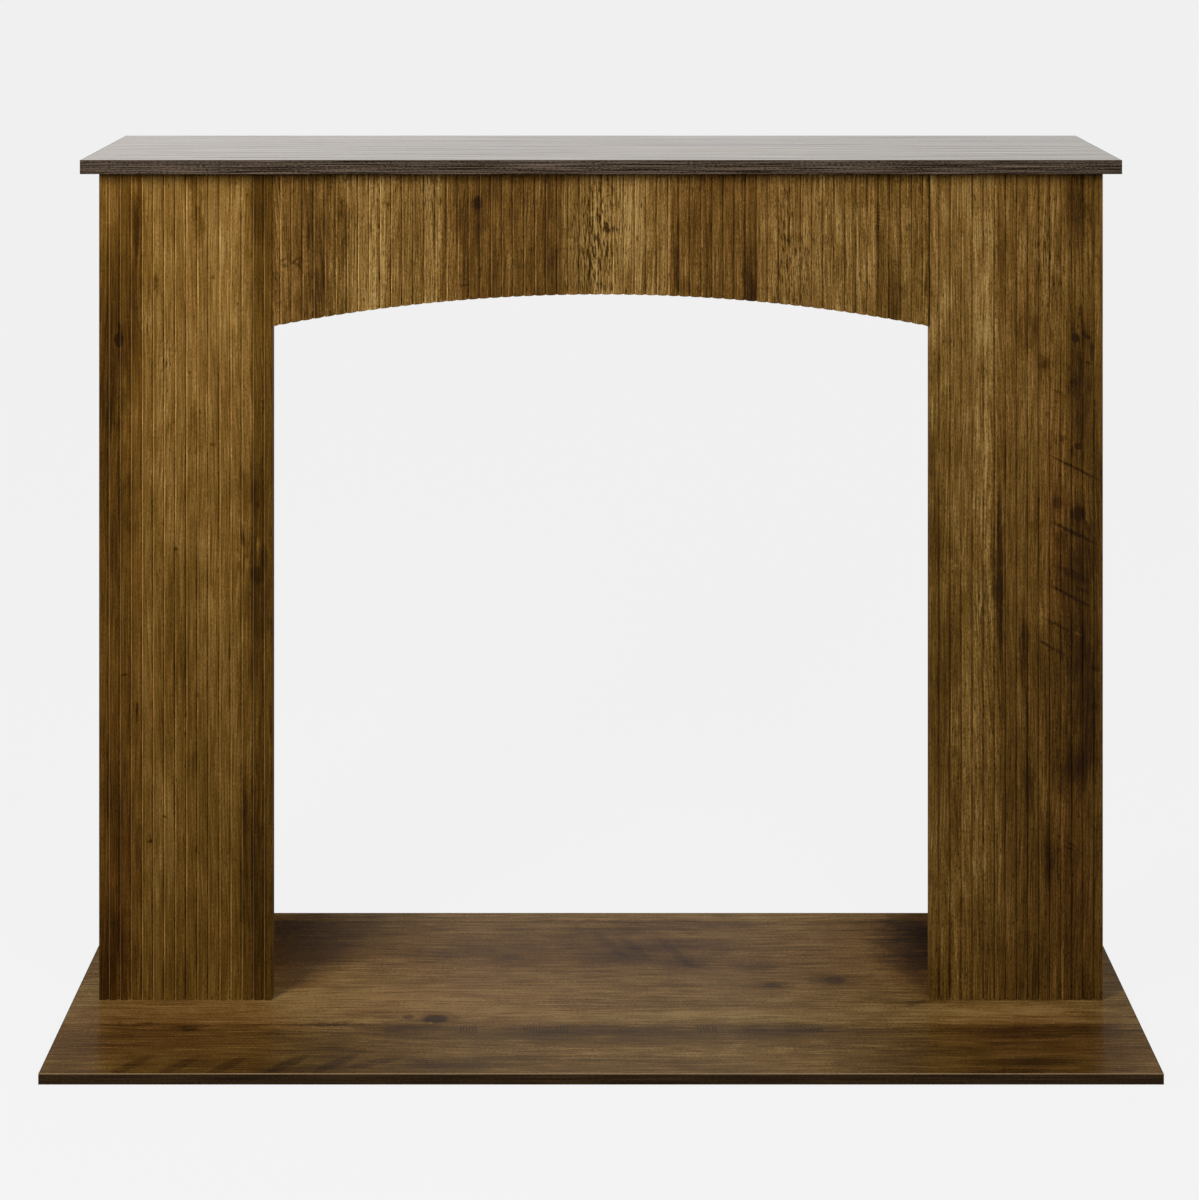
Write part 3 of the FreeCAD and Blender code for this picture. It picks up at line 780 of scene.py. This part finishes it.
HEARTH_MARKS = (
    (-100, -490, 110, 150, -0.08),
    (-85, -526, 4.0, 60, -0.18),
    (-93, -461, 8, 30, -0.22),
    (-85, -305, 4, 66, -0.18),
    (-98, -230, 22, 60, -0.14),
    (-104, 60, 28, 520, -0.05),
    (-104, -55, 16, 120, -0.06),
    (-98, 240, 16, 140, -0.06),
    (-98, 480, 16, 140, -0.13),
    (-150, 490, 60, 130, -0.09),
    (-186, -390, 26, 280, -0.10),
    (-186, 430, 22, 170, -0.14),
    (-172, -160, 18, 120, -0.1),
    (-165, -380, 20, 190, -0.12),
    (167, -30, 5, 90, -0.16),
    (74, 27, 20, 40, -0.12),
    (58, 105, 22, 36, -0.16),
    (95, 40, 60, 130, -0.1),
    (-160, 340, 26, 90, -0.14),
    (-140, -310, 30, 110, -0.1),
    (50, 180, 14, 50, -0.12),
    (80, -150, 36, 120, -0.10),
    # Painted shadow on the hearth behind the left jamb and behind the right jamb
    (110, -400, 110, 120, -0.16),
    (90, 400, 130, 80, -0.32),
    (8, 204, 14, 30, -0.11),
    (20, 270, 22, 60, -0.12),
    (-60, 120, 20, 170, 0.10),
    (-55, -90, 18, 130, 0.08),
    (-56, 470, 18, 130, 0.12),
    (-26, -240, 36, 260, 0.10),
    (-185, 430, 8, 70, -0.12),
    (-166, 460, 14, 90, -0.16),
    (-140, 390, 14, 110, -0.14),
    (-106, -375, 12, 60, -0.12),
    (-35, 355, 6, 50, -0.22),
    (-140, 100, 16, 200, 0.08),
    (-152, 120, 30, 420, 0.05),
    # Painted shade along the back of the hearth
    (100, 0, 110, 3000, -0.05),
    (-64, -340, 14, 80, 0.1),
    (-186, -340, 12, 70, -0.12),
    (-182, 214, 12, 90, 0.08),
    # Painted shadow at the hearth's back edge behind the left jamb and behind the right jamb
    (150, -370, 50, 60, -0.1),
    (150, 390, 50, 46, -0.2),
    (156, 130, 18, 110, -0.08),
    (-97, 549, 20, 60, -0.12),
    (-108, 448, 14, 80, -0.12),
    (-64, 556, 14, 40, -0.08),
    (144, -2, 16, 60, -0.1),
    (150, 57, 16, 60, -0.08),
    (62, 20, 30, 200, -0.05),
    (-29, -161, 14, 40, 0.08),
    (-75, -263, 12, 40, 0.08),
)
HEARTH_DETAILS = (
    (-73, -188, 11, 17, -0.26),
    (-79.5, -193, 3.6, 3, 0.16),
    (-70, -186, 19, 32, -0.06),
    (-93, -212, 12, 46, -0.06),
    (-68, -219, 6, 8, -0.14),
    (16.5, 276, 12, 15, -0.1),
    (16, 275, 20, 36, -0.03),
    (5, 201, 6, 12, -0.09),
    (-174, -514, 9, 33, -0.1, -45),
    (-174, -462, 9, 33, -0.1, -45),
    (-174, -408, 9, 31, -0.09, -45),
    (-170, -343, 9, 33, -0.1, -42),
    (-168, -290, 9, 33, -0.1, -40),
    (-166, -245, 8, 39, -0.1, -20),
    (-168, -165, 12, 60, -0.07),
    (-158, -95, 6, 50, -0.08),
    (-85, -340, 2, 110, -0.06),
    (110, 8, 60, 8, -0.05, -29),
    (95, 42, 46, 7, -0.05, -30),
    (85, 90, 52, 8, -0.06, -27),
    (165, 0, 3, 900, -0.05),
    (-97, -505, 2.5, 60, -0.08),
    (-112, -520, 2.5, 50, -0.08),
    (-118, -470, 3, 70, -0.06),
    (-130, -540, 3, 40, -0.06),
    (-105, -400, 2.5, 60, -0.06),
    (-116, -380, 2.5, 50, -0.07),
    (-92, 520, 4, 80, -0.08),
    (-96, 430, 3, 60, -0.07),
    (-110, 500, 3, 100, -0.06),
    (-126, 470, 6, 60, -0.06),
    (-150, 400, 5, 50, -0.06),
    (-165, 470, 8, 60, -0.06),
    (-97, -25, 12, 110, -0.05),
    (-103, 90, 14, 150, -0.04),
    (-89, 470, 3, 120, -0.06),
    (-101, 430, 2.5, 150, -0.06),
    # Rows of short saw cuts along the front plank
    *(
        (-96, start + 3.4 * i, 11, 1.3, change, -6)
        for start, count, change in (
            (-158, 6, -0.12), (-86, 15, -0.1), (109, 7, -0.12), (160, 8, -0.06), (208, 13, -0.1),
        )
        for i in range(count)
    ),
)
# The hearth's planks, from its front edge to its back edge
HEARTH_BOARDS = (
    (-190, -0.06, 0.0),
    (-84, 0.06, 0.0),
    (168, 0.16, 0.0),
    (190, 0.16, 0.0),
)
HEARTH_REDDISH = (
    (-100, -490, 120, 170, 0.5),
    (-110, 490, 110, 150, 0.5),
    (-50, -200, 70, 300, 0.3),
    (80, 0, 140, 700, 0.3),
)

MANTEL_MARKS = (
    (60, -430, 14, 120, -0.25),
    (20, -150, 16, 220, -0.20),
    (90, 210, 16, 200, -0.22),
    (-20, 330, 8, 150, -0.26),
    (120, 480, 18, 160, -0.18),
    (40, 40, 18, 260, 0.14),
    (140, -260, 16, 240, 0.14),
)

SIDE_MARKS = (
    (60, 700, 24, 260, -0.22),
    (150, 420, 18, 300, 0.16),
    (30, 250, 14, 200, -0.26),
    (110, 860, 9, 13, -0.5),
    (120, 150, 26, 170, -0.16),
    (90, 560, 8, 160, 0.2),
    (172, 820, 12, 180, -0.2),
)

LEFT_JAMB = Print(
    LEFT_JAMB_MARKS,
    LEFT_JAMB_DETAILS,
    LEFT_JAMB_BOARDS,
    LEFT_JAMB_DASHES,
    LEFT_JAMB_REDDISH,
    shift=2.3,
    middle=0.465,
    stretch=0.64,
    pores=0.14,
    dash_level=0.67,
    grey=0.01,
)
HEADER = Print(
    HEADER_MARKS,
    HEADER_DETAILS,
    HEADER_BOARDS,
    HEADER_DASHES,
    shift=17.9,
    middle=0.59,
    stretch=0.92,
    pores=0.25,
    dash_level=0.62,
    grey=0.035,
)
RIGHT_JAMB = Print(
    RIGHT_JAMB_MARKS,
    RIGHT_JAMB_DETAILS,
    RIGHT_JAMB_BOARDS,
    RIGHT_JAMB_DASHES,
    RIGHT_JAMB_REDDISH,
    shift=31.4,
    middle=0.5,
    stretch=0.82,
    pores=0.3,
    dash_level=0.63,
    grey=0.03,
)
HEARTH = Print(
    HEARTH_MARKS,
    HEARTH_DETAILS,
    HEARTH_BOARDS,
    reddish=HEARTH_REDDISH,
    shift=47.0,
    middle=0.63,
    stretch=0.78,
    pores=0.0,
    grey=0.05,
)
MANTEL = Print(MANTEL_MARKS, shift=71.0, middle=0.65, stretch=1.4, mottle=0.2, fibre=(7.0, 300.0))
LEFT_SIDE = Print(SIDE_MARKS, shift=5.0, stretch=0.8)
RIGHT_SIDE = Print(SIDE_MARKS, shift=9.0, stretch=0.8)


class SURROUND_OT_reeded_front(Operator):
    """Builds the two reeded jambs and the arched header in printed foil"""

    bl_idname = "surround.reeded_front"
    bl_label = "Reeded front"

    def execute(self, context):
        sizes = context.scene.surround_reeds
        colours = context.scene.surround_foil
        seams = (sizes.left_seam, sizes.right_seam)
        # The last two pairs in each row are the shares of painted light in the grooves and of a painted
        # highlight on the reeds' left shoulders, at a panel's left and right edge. They are strongest on the
        # left, where the light comes from.
        for node, trims, wood, lift, painted_shoulder_share in (
            ("left_jamb_panel", (0, 0), LEFT_JAMB, (0.8, 0.8), (1.05, 1.05)),
            ("arch_header_panel", seams, HEADER, (0.7, 0.6), (0.9, 0.1)),
            ("right_jamb_panel", (0, 0), RIGHT_JAMB, (0.6, 0.6), (0.1, 0.1)),
        ):
            low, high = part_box(node)
            centre = (low.x + high.x) / 2
            if any(trims):
                left_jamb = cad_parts["left_jamb_panel"]
                low.x = max(v.co.x for v in left_jamb.data.vertices) + trims[0]
                high.x = -low.x + trims[0] - trims[1]
            piece = self.reeded_panel(node + "_reeded", sizes, low, high, centre, any(trims))
            foil = self.foil(node, colours, sizes, centre, low, high, wood, lift, painted_shoulder_share)
            piece.data.materials.append(foil)
            piece.data.materials.append(self.back(colours))
            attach(piece, BODY)
            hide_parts(node)
        return {"FINISHED"}

    def profile(self, sizes, low, high, centre):
        """Places across a panel, each with its depth behind the reed crests and the ease of its end."""
        half = sizes.groove / 2
        steps = 6
        shoulder = (sizes.pitch / 2 - half) / steps
        round_steps = (0.08, 0.3, 0.6, 1.0)
        closest = 0.02 * MM
        across = {low.x, high.x}
        first = math.floor((low.x - centre) / sizes.pitch) - 1
        last = math.ceil((high.x - centre) / sizes.pitch) + 1
        for number in range(first, last + 1):
            for step in range(-steps, steps + 1):
                across.add(centre + number * sizes.pitch + half * step / steps)
                across.add(centre + (number + 0.5) * sizes.pitch + shoulder * step)
        for share in round_steps:
            across.add(low.x + share * sizes.edge_round)
            across.add(high.x - share * sizes.edge_round)
        points = []
        for x in sorted(x for x in across if low.x <= x <= high.x):
            if points and x - points[-1][0] < closest:
                continue
            offset = (x - centre) / sizes.pitch
            away = abs(offset - round(offset)) * sizes.pitch
            steep = min(1.0, away / half)
            bend = (1 - 2 * away / sizes.pitch) ** 2
            depth = sizes.crown * bend + (sizes.relief - sizes.crown) * (1 - steep * steep * (3 - 2 * steep))
            inside = min(x - low.x, high.x - x)
            if inside < sizes.edge_round:
                lean = 1 - inside / sizes.edge_round
                depth += sizes.edge_round * (1 - math.sqrt(1 - lean * lean))
            points.append((x, depth, sizes.ease * bend))
        return points

    def reeded_panel(self, name, sizes, low, high, centre, arched):
        """A panel of upright reeds, with its lower edge cut to the arch where it has one."""
        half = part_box("left_jamb_panel")[1].x
        radius = (half ** 2 + sizes.arch_rise ** 2) / (2 * sizes.arch_rise)
        shape = bmesh.new()
        columns = []
        for x, depth, lift in self.profile(sizes, low, high, centre):
            foot = low.z
            front_foot = foot
            if arched:
                crown = low.z + sizes.arch_rise
                foot = crown - radius + math.sqrt(radius ** 2 - x ** 2)
                front_foot = foot + lift
            front = low.y + depth
            places = ((x, front, front_foot), (x, front, high.z), (x, high.y, high.z), (x, high.y, foot))
            columns.append([shape.verts.new(place) for place in places])
        for left, right in zip(columns, columns[1:]):
            for i in range(4):
                k = (i + 1) % 4
                face = shape.faces.new((left[i], right[i], right[k], left[k]))
                face.material_index = 0 if i == 0 else 1
                face.smooth = True
        shape.faces.new(columns[0])
        shape.faces.new(reversed(columns[-1]))
        bmesh.ops.recalc_face_normals(shape, faces=shape.faces)
        mesh = bpy.data.meshes.new(name)
        shape.to_mesh(mesh)
        shape.free()
        mesh.set_sharp_from_angle(angle=math.radians(40))
        piece = bpy.data.objects.new(name, mesh)
        bpy.context.scene.collection.objects.link(piece)
        return piece

    def foil(self, node, colours, sizes, centre, low, high, wood, lift, painted_shoulder_share):
        """Printed paper foil wrapped over the reeds: matt, with painted light in each groove and a painted
        highlight on each reed's left shoulder.

        lift and the shoulder share are the shares of that painted groove light and that painted highlight,
        at the panel's left and right edge. The painted highlight has a faint painted shade beside it.
        """
        material = new_material("wood_print_paper_foil_" + node)
        tree = material.node_tree
        fold = low.y + sizes.relief + sizes.edge_round
        colour, height = printed_wood(tree, colours, "XZ", wood, fold)
        parts = split(tree, in_mm(tree, object_place(tree)))
        x = parts["X"]
        flat = add_node(tree, "ShaderNodeCombineXYZ", {0: x, 1: parts["Z"]})
        pitch = sizes.pitch * PER_METRE
        from_centre = maths(tree, "SUBTRACT", x, centre * PER_METRE)
        in_groove = maths(tree, "WRAP", from_centre, pitch / 2, -pitch / 2)
        # Noise that makes the painted groove light, the painted highlight and the painted shade stronger or
        # weaker along the grooves
        painted_line_patches = flat_noise(tree, flat, (1 / PAINTED_LINE_PATCH_SIZE[0], 1 / PAINTED_LINE_PATCH_SIZE[1]), 2.0, roughness=0.5)
        painted_line_strength = remap(tree, painted_line_patches, PAINTED_LINE_PATCH_LEVELS, PAINTED_LINE_PATCH_SHARES)
        edges = (low.x * PER_METRE, high.x * PER_METRE)
        # Painted light in the groove, and a painted highlight with a faint painted shade beside it on the
        # reed's left shoulder: each line's place beside the groove's middle and its half width, in mm
        for shift, half_width, shares, ink, blend in (
            (-0.6, 1.2, lift, colours.painted_groove_light, "DODGE"),
            (1.4, 0.95, painted_shoulder_share, colours.painted_shoulder_highlight, "DODGE"),
            (1.4, 0.95, painted_shoulder_share, colours.painted_shoulder_haze, "SCREEN"),
            (3.4, 1.3, painted_shoulder_share, colours.painted_shoulder_shade, "MULTIPLY"),
        ):
            distance = maths(tree, "ABSOLUTE", maths(tree, "SUBTRACT", in_groove, shift))
            broken = maths(tree, "MULTIPLY", remap(tree, x, edges, shares), painted_line_strength)
            line = remap(tree, distance, (half_width * LINE_CORE, half_width), (broken, 0.0))
            colour = mixed(tree, line, colour, ink, blend)
        show(tree, foil_surface(tree, colour, height, roughness=0.55, specular=0.05, relief=0.2))
        return material

    def back(self, colours):
        """Backing paper on the panels' hidden faces: plain, dull and pale brown."""
        material = new_material("fibreboard_with_backing_paper_panels")
        show(material.node_tree, raw_board(material.node_tree, colours))
        return material


class SURROUND_OT_boards(Operator):
    """Dresses the hearth, the mantel shelf and the side panels in printed foil"""

    bl_idname = "surround.boards"
    bl_label = "Boards"

    def execute(self, context):
        colours = context.scene.surround_foil
        # Melamine foil pressed smooth: satin on the hearth and the mantel, where it mirrors the jambs softly
        # and the pale backdrop at a low angle, and dull on the side panels
        for node, axes, wood, front_side, roughness, specular in (
            ("hearth_board", "YX", HEARTH, ("Z", 1), 0.22, 0.5),
            ("mantel_shelf", "YX", MANTEL, ("Z", 1), 0.2, 0.65),
            ("left_side_panel", "YZ", LEFT_SIDE, ("X", -1), 0.55, 0.08),
            ("right_side_panel", "YZ", RIGHT_SIDE, ("X", 1), 0.55, 0.08),
        ):
            material = new_material("wood_print_melamine_foil_" + node)
            tree = material.node_tree
            colour, height = printed_wood(tree, colours, axes, wood)
            front = foil_surface(tree, colour, height, roughness, specular, relief=0.08)
            back = raw_board(tree, colours)
            at_front = facing(tree, *front_side)
            show(tree, add_node(tree, "ShaderNodeMixShader", {0: at_front, 1: back, 2: front}))
            dress(node, material)
        return {"FINISHED"}


def dress(node, material):
    """Gives a CAD node its material."""
    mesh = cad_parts[node].data
    mesh.materials.clear()
    mesh.materials.append(material)


class SURROUND_OT_edge_bands(Operator):
    """Dresses the edge bands of the hearth and the mantel shelf"""

    bl_idname = "surround.edge_bands"
    bl_label = "Edge bands"

    def execute(self, context):
        colours = context.scene.surround_foil
        # The hearth's arris line is a painted highlight in the pale backing colour; the mantel's is a dark
        # line
        for board, ground, fibre, arris, line in (
            ("hearth", colours.hearth_band, colours.hearth_fibre, colours.backing, 0.45),
            ("mantel", colours.mantel_band, colours.mantel_fibre, colours.umber, 0.7),
        ):
            for end, along in (("front", "X"), ("left", "Y"), ("right", "Y")):
                node = f"{board}_{end}_edge_band"
                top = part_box(node)[1].z
                share = line if end == "front" else 0.0
                dress(node, self.edging(node, along, top, ground, fibre, arris, share))
        return {"FINISHED"}

    def edging(self, node, along, top, ground, fibre, arris, line):
        """Extruded and printed ABS edging: dark brown with pressed pale fibres along the edge.

        Its upper arris carries a thin line of another tone: on the hearth a painted highlight where the
        rounded arris catches the light, and on the mantel a dark line. line is that line's share of the
        arris colour.
        """
        material = new_material("printed_abs_edging_" + node)
        tree = material.node_tree
        parts = split(tree, object_place(tree))
        flat = add_node(tree, "ShaderNodeCombineXYZ", {0: parts[along], 1: parts["Z"]})
        # Fibres are about 0.3 mm tall on such edging and are drawn about 1 mm tall so that they show
        fibres = 0.0
        for length, height, weight in ((110.0, 0.9, 0.65), (3.5, 1.0, 0.35)):
            layer = flat_noise(tree, flat, (PER_METRE / length, PER_METRE / height), 1.0)
            fibres = maths(tree, "MULTIPLY_ADD", layer, weight, fibres)
        colour = mixed(tree, remap(tree, fibres, (0.44, 0.62)), ground, fibre)
        # The arris line, a painted highlight on the hearth and a dark line on the mantel, is about 0.5 mm
        # tall and is drawn 1 mm tall so that it shows
        arris_highlight_and_line = remap(tree, parts["Z"], (top - 1.1 * MM, top - 0.7 * MM), (0.0, line))
        colour = mixed(tree, arris_highlight_and_line, colour, arris)
        show(tree, foil_surface(tree, colour, fibres, roughness=0.45, specular=0.06, relief=0.15))
        return material


class SURROUND_OT_fittings(Operator):
    """Dresses the battens, dowels, cams, bolts, screws and brackets"""

    bl_idname = "surround.fittings"
    bl_label = "Fittings"

    def execute(self, context):
        colours = context.scene.surround_fittings
        battens = [self.planed_pine(colours, along) for along in "XYZ"]
        beech = self.turned_beech(colours)
        cast = self.cast_zinc(colours)
        plated = self.zinc_plated_steel(colours)
        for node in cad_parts:
            if node.endswith(("_rail", "_cleat", "_batten", "_block")):
                low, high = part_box(node)
                size = high - low
                dress(node, battens[max(range(3), key=lambda i: size[i])])
            elif node.endswith("_dowels"):
                dress(node, beech)
            elif "_cam_" in node and not node.endswith("_bolts"):
                dress(node, cast)
            elif node.endswith(("_bolts", "_screws", "_bracket")):
                dress(node, plated)
        return {"FINISHED"}

    def planed_pine(self, colours, along):
        """Planed pine: pale, with darker winter rings along the batten and a soft dull sheen."""
        material = new_material("planed_pine_" + along.lower())
        tree = material.node_tree
        ring = 5.0
        length = 260.0
        scale = [PER_METRE / (length if axis == along else ring) for axis in "XYZ"]
        spread = vector_maths(tree, "MULTIPLY", object_place(tree), scale)
        settings = {"Vector": spread, "Scale": 1.0, "Detail": 3.0, "Distortion": 0.4}
        rings = add_node(tree, "ShaderNodeTexNoise", settings)
        colour = mixed(tree, remap(tree, rings, (0.35, 0.68)), colours.pine, colours.pine_dark)
        show(tree, foil_surface(tree, colour, rings, roughness=0.6, specular=0.3, relief=0.2))
        return material

    def turned_beech(self, colours):
        """Turned beech: even pinkish tan with short dark flecks."""
        material = new_material("turned_beech")
        tree = material.node_tree
        flecks = noise(tree, object_place(tree), size=2.0, detail=3.0)
        share = remap(tree, flecks, (0.5, 0.75), (0.0, 0.6))
        colour = mixed(tree, share, colours.beech, colours.pine_dark)
        show(tree, foil_surface(tree, colour, flecks, roughness=0.6, specular=0.3, relief=0.1))
        return material

    def cast_zinc(self, colours):
        """Die-cast zinc: dull grey metal with a fine cast grain."""
        return self.metal("die_cast_zinc", colours.zinc, roughness=0.42, grit=0.8)

    def zinc_plated_steel(self, colours):
        """Zinc-plated steel: bright bluish metal with faint cloudy plating."""
        return self.metal("zinc_plated_steel", colours.plated, roughness=0.3, grit=6.0)

    def metal(self, name, colour, roughness, grit):
        """A plated or cast metal whose shade and roughness change with a grit in mm."""
        material = new_material(name)
        tree = material.node_tree
        grain = noise(tree, object_place(tree), size=grit, detail=1.0)
        levels = (0.3, 0.7)
        shade = remap(tree, grain, levels, (0.92, 1.0))
        cloud = remap(tree, grain, levels, (roughness - 0.06, roughness + 0.08))
        show(tree, add_node(tree, "ShaderNodeBsdfPrincipled", {
            "Base Color": mixed(tree, 1.0, colour, shade, "MULTIPLY"),
            "Metallic": 1.0,
            "Roughness": cloud,
        }))
        return material


# Lamps of the studio: name, place in m, size in m, power in W, and whether it is fill
LAMPS = (
    ("left_soft_box", (-1.45, -1.5, 1.55), 0.7, 38.0, False),
    ("right_soft_box", (0.9, -1.75, 1.5), 0.7, 21.0, False),
    ("left_fill", (-2.6, 0.75, 1.2), 1.2, 38.0, True),
    ("right_fill", (2.6, 0.75, 1.2), 1.2, 38.0, True),
    ("back_fill", (0.4, 2.8, 1.4), 1.4, 60.0, True),
)
LAMP_TARGET = Vector((0, 0, 0.8))
FLOOR_SIZE = (120.0, 120.0)
# The share of glow in the floor that is looked at; the rest of it is lit paint
FLOOR_GLOW = 0.96
# The backdrop's strength as light on matt surfaces
BACKDROP_FILL = 0.1


class SURROUND_OT_stage(Operator):
    """Sets up the pale floor, the soft lights and the camera of the photograph"""

    bl_idname = "surround.stage"
    bl_label = "Stage"

    def execute(self, context):
        settings = context.scene.surround_stage
        self.make_floor(settings)
        self.make_card(settings)
        self.make_world(context.scene, settings)
        self.make_lights()
        context.scene.camera = self.make_camera(settings)
        context.scene.view_settings.view_transform = "Standard"
        return {"FINISHED"}

    def sheet(self, name, size, turn, place):
        """A flat sheet of the studio."""
        mesh = bpy.data.meshes.new(name)
        shape = bmesh.new()
        bmesh.ops.create_grid(shape, x_segments=8, y_segments=8, size=0.5)
        bmesh.ops.scale(shape, vec=(size[0], size[1], 1), verts=shape.verts)
        shape.transform(Matrix.Translation(place) @ turn.to_4x4())
        shape.to_mesh(mesh)
        shape.free()
        made = bpy.data.objects.new(name, mesh)
        bpy.context.scene.collection.objects.link(made)
        made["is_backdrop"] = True
        return made

    def make_floor(self, settings):
        """A wide pale floor that keeps a soft shadow and fades into the backdrop.

        It is pale to look at, and gives back less light than that, so that the lower half stays dark.
        """
        floor = self.sheet("studio_floor", FLOOR_SIZE, Matrix.Identity(3), Vector())
        material = new_material("painted_studio_floor")
        tree = material.node_tree
        seen = self.looked_at(tree)
        paint = mixed(tree, seen, settings.floor_bounce, settings.floor)
        matt = add_node(tree, "ShaderNodeBsdfDiffuse", {"Color": paint})
        glow = add_node(tree, "ShaderNodeEmission", {"Color": settings.floor, "Strength": 1.0})
        share = maths(tree, "MULTIPLY", seen, FLOOR_GLOW)
        show(tree, add_node(tree, "ShaderNodeMixShader", {0: share, 1: matt, 2: glow}))
        floor.data.materials.append(material)

    def make_card(self, settings):
        """A pale card close behind the surround that only shows as a reflection in the satin boards.

        It is bright above the mantel, and dimmer and shaded towards the jambs below it.
        """
        turn = Matrix.Rotation(math.pi / 2, 3, "X")
        wall = CAD_BOX[1].y + 0.01
        card = self.sheet("reflection_card", (2.4, 1.5), turn, Vector((0, wall, 0.75)))
        card.visible_camera = False
        card.visible_diffuse = False
        card.visible_shadow = False
        card.visible_transmission = False
        card.visible_volume_scatter = False
        material = new_material("painted_reflection_card")
        tree = material.node_tree
        parts = split(tree, object_place(tree))
        aside = maths(tree, "ABSOLUTE", parts["X"])
        in_opening = remap(tree, aside, (0.16, 0.42), (0.33, 0.02))
        beside_jambs = remap(tree, aside, (0.5, 0.66), (0.0, 0.2))
        below = maths(tree, "MAXIMUM", in_opening, beside_jambs)
        above = remap(tree, parts["X"], (-0.6, 0.6), (1.15, 1.0))
        rise = remap(tree, parts["Z"], (0.7, 0.95))
        level = add_node(tree, "ShaderNodeMix", {0: rise, 2: below, 3: above}, data_type="FLOAT")
        show(tree, add_node(tree, "ShaderNodeEmission", {"Color": settings.floor, "Strength": level}))
        card.data.materials.append(material)

    def looked_at(self, tree):
        """1 for rays that look at the backdrop, straight, in a mirror or through glass."""
        path = add_node(tree, "ShaderNodeLightPath").outputs
        seen = maths(tree, "MAXIMUM", path["Is Camera Ray"], path["Is Glossy Ray"])
        return maths(tree, "MAXIMUM", seen, path["Is Transmission Ray"])

    def make_world(self, scene, settings):
        """A backdrop that is pale near the floor and dim overhead, and a faint even light from it."""
        world = bpy.data.worlds.new("studio")
        scene.world = world
        world.use_nodes = True
        tree = world.node_tree
        tree.nodes.clear()
        direction = add_node(tree, "ShaderNodeTexCoord").outputs["Generated"]
        backdrop = remap(tree, split(tree, direction)["Z"], (0.14, 0.42), (1.0, 0.3))
        levels = {0: self.looked_at(tree), 2: BACKDROP_FILL, 3: backdrop}
        strength = add_node(tree, "ShaderNodeMix", levels, data_type="FLOAT")
        light = add_node(tree, "ShaderNodeBackground", {"Color": settings.floor, "Strength": strength})
        add_node(tree, "ShaderNodeOutputWorld", {"Surface": light})

    def make_lights(self):
        """Two soft boxes a little above the mantel, the stronger one from the left, and fill from behind.

        The fill lights the sides and the back, and is kept off the hearth board and the mantel shelf. The
        soft boxes don't show as reflections in the satin boards.
        """
        filled = bpy.data.collections.new("lit_by_the_fill")
        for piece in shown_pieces():
            if piece.name not in ("hearth_board", "mantel_shelf"):
                filled.objects.link(piece)
        for name, place, size, power, is_fill in LAMPS:
            lamp = bpy.data.lights.new(name, "AREA")
            lamp.shape = "SQUARE"
            lamp.size = size
            lamp.energy = power
            light = bpy.data.objects.new(name, lamp)
            bpy.context.scene.collection.objects.link(light)
            light.location = place
            light.rotation_euler = (LAMP_TARGET - Vector(place)).to_track_quat("-Z", "Y").to_euler()
            if is_fill:
                light.light_linking.receiver_collection = filled
            else:
                light.visible_glossy = False

    def make_camera(self, settings):
        """A view camera: the lens looks down at the surround, and the picture plane stays upright.

        Its sheared stand does that, and it keeps the uprights parallel, as in the photograph.
        """
        pitch = math.atan2(settings.horizon_pixels, settings.focal_pixels)
        data = bpy.data.cameras.new("camera")
        data.sensor_width = 36.0
        data.lens = data.sensor_width * settings.focal_pixels / math.cos(pitch) / PHOTO_HEIGHT
        camera = bpy.data.objects.new("camera", data)
        stand = bpy.data.objects.new("camera_stand", None)
        for made in (camera, stand):
            bpy.context.scene.collection.objects.link(made)
        depth = CAD_BOX[0].y - settings.camera_distance
        place = Vector((settings.camera_offset, depth, settings.camera_height))
        camera.location = place
        camera.rotation_euler = (math.pi / 2 - pitch, 0, 0)
        looking = camera.rotation_euler.to_matrix()
        upright = Matrix((looking.col[0], (0, 0, 1), looking.col[2])).transposed()
        shear = (upright @ looking.inverted()).to_4x4()
        camera.parent = stand
        camera.matrix_parent_inverse = Matrix.Translation(place) @ shear @ Matrix.Translation(-place)
        return camera


class SURROUND_PT_panel(Panel):
    """Lists the surround's settings and the steps that build it"""

    bl_label = "Fireplace surround"
    bl_idname = "SURROUND_PT_panel"
    bl_space_type = "VIEW_3D"
    bl_region_type = "UI"
    bl_category = "Surround"

    def draw(self, context):
        for group in SETTINGS:
            settings = getattr(context.scene, group)
            for name in settings.bl_rna.properties.keys():
                if name not in ("rna_type", "name"):
                    self.layout.prop(settings, name)
        for operator in OPERATORS:
            self.layout.operator(operator.bl_idname)


SETTINGS = {
    "surround_reeds": ReedSizes,
    "surround_foil": FoilColours,
    "surround_fittings": FittingColours,
    "surround_stage": StageSettings,
}
OPERATORS = (
    SURROUND_OT_reeded_front,
    SURROUND_OT_boards,
    SURROUND_OT_edge_bands,
    SURROUND_OT_fittings,
    SURROUND_OT_stage,
)
CLASSES = (*SETTINGS.values(), *OPERATORS, SURROUND_PT_panel)


def register():
    for each in CLASSES:
        bpy.utils.register_class(each)
    for name, group in SETTINGS.items():
        setattr(bpy.types.Scene, name, PointerProperty(type=group))


def unregister():
    for name in SETTINGS:
        delattr(bpy.types.Scene, name)
    for each in reversed(CLASSES):
        bpy.utils.unregister_class(each)


def main():
    register()
    bpy.ops.surround.reeded_front()
    bpy.ops.surround.boards()
    bpy.ops.surround.edge_bands()
    bpy.ops.surround.fittings()
    bpy.ops.surround.stage()


if __name__ == "__main__":
    main()
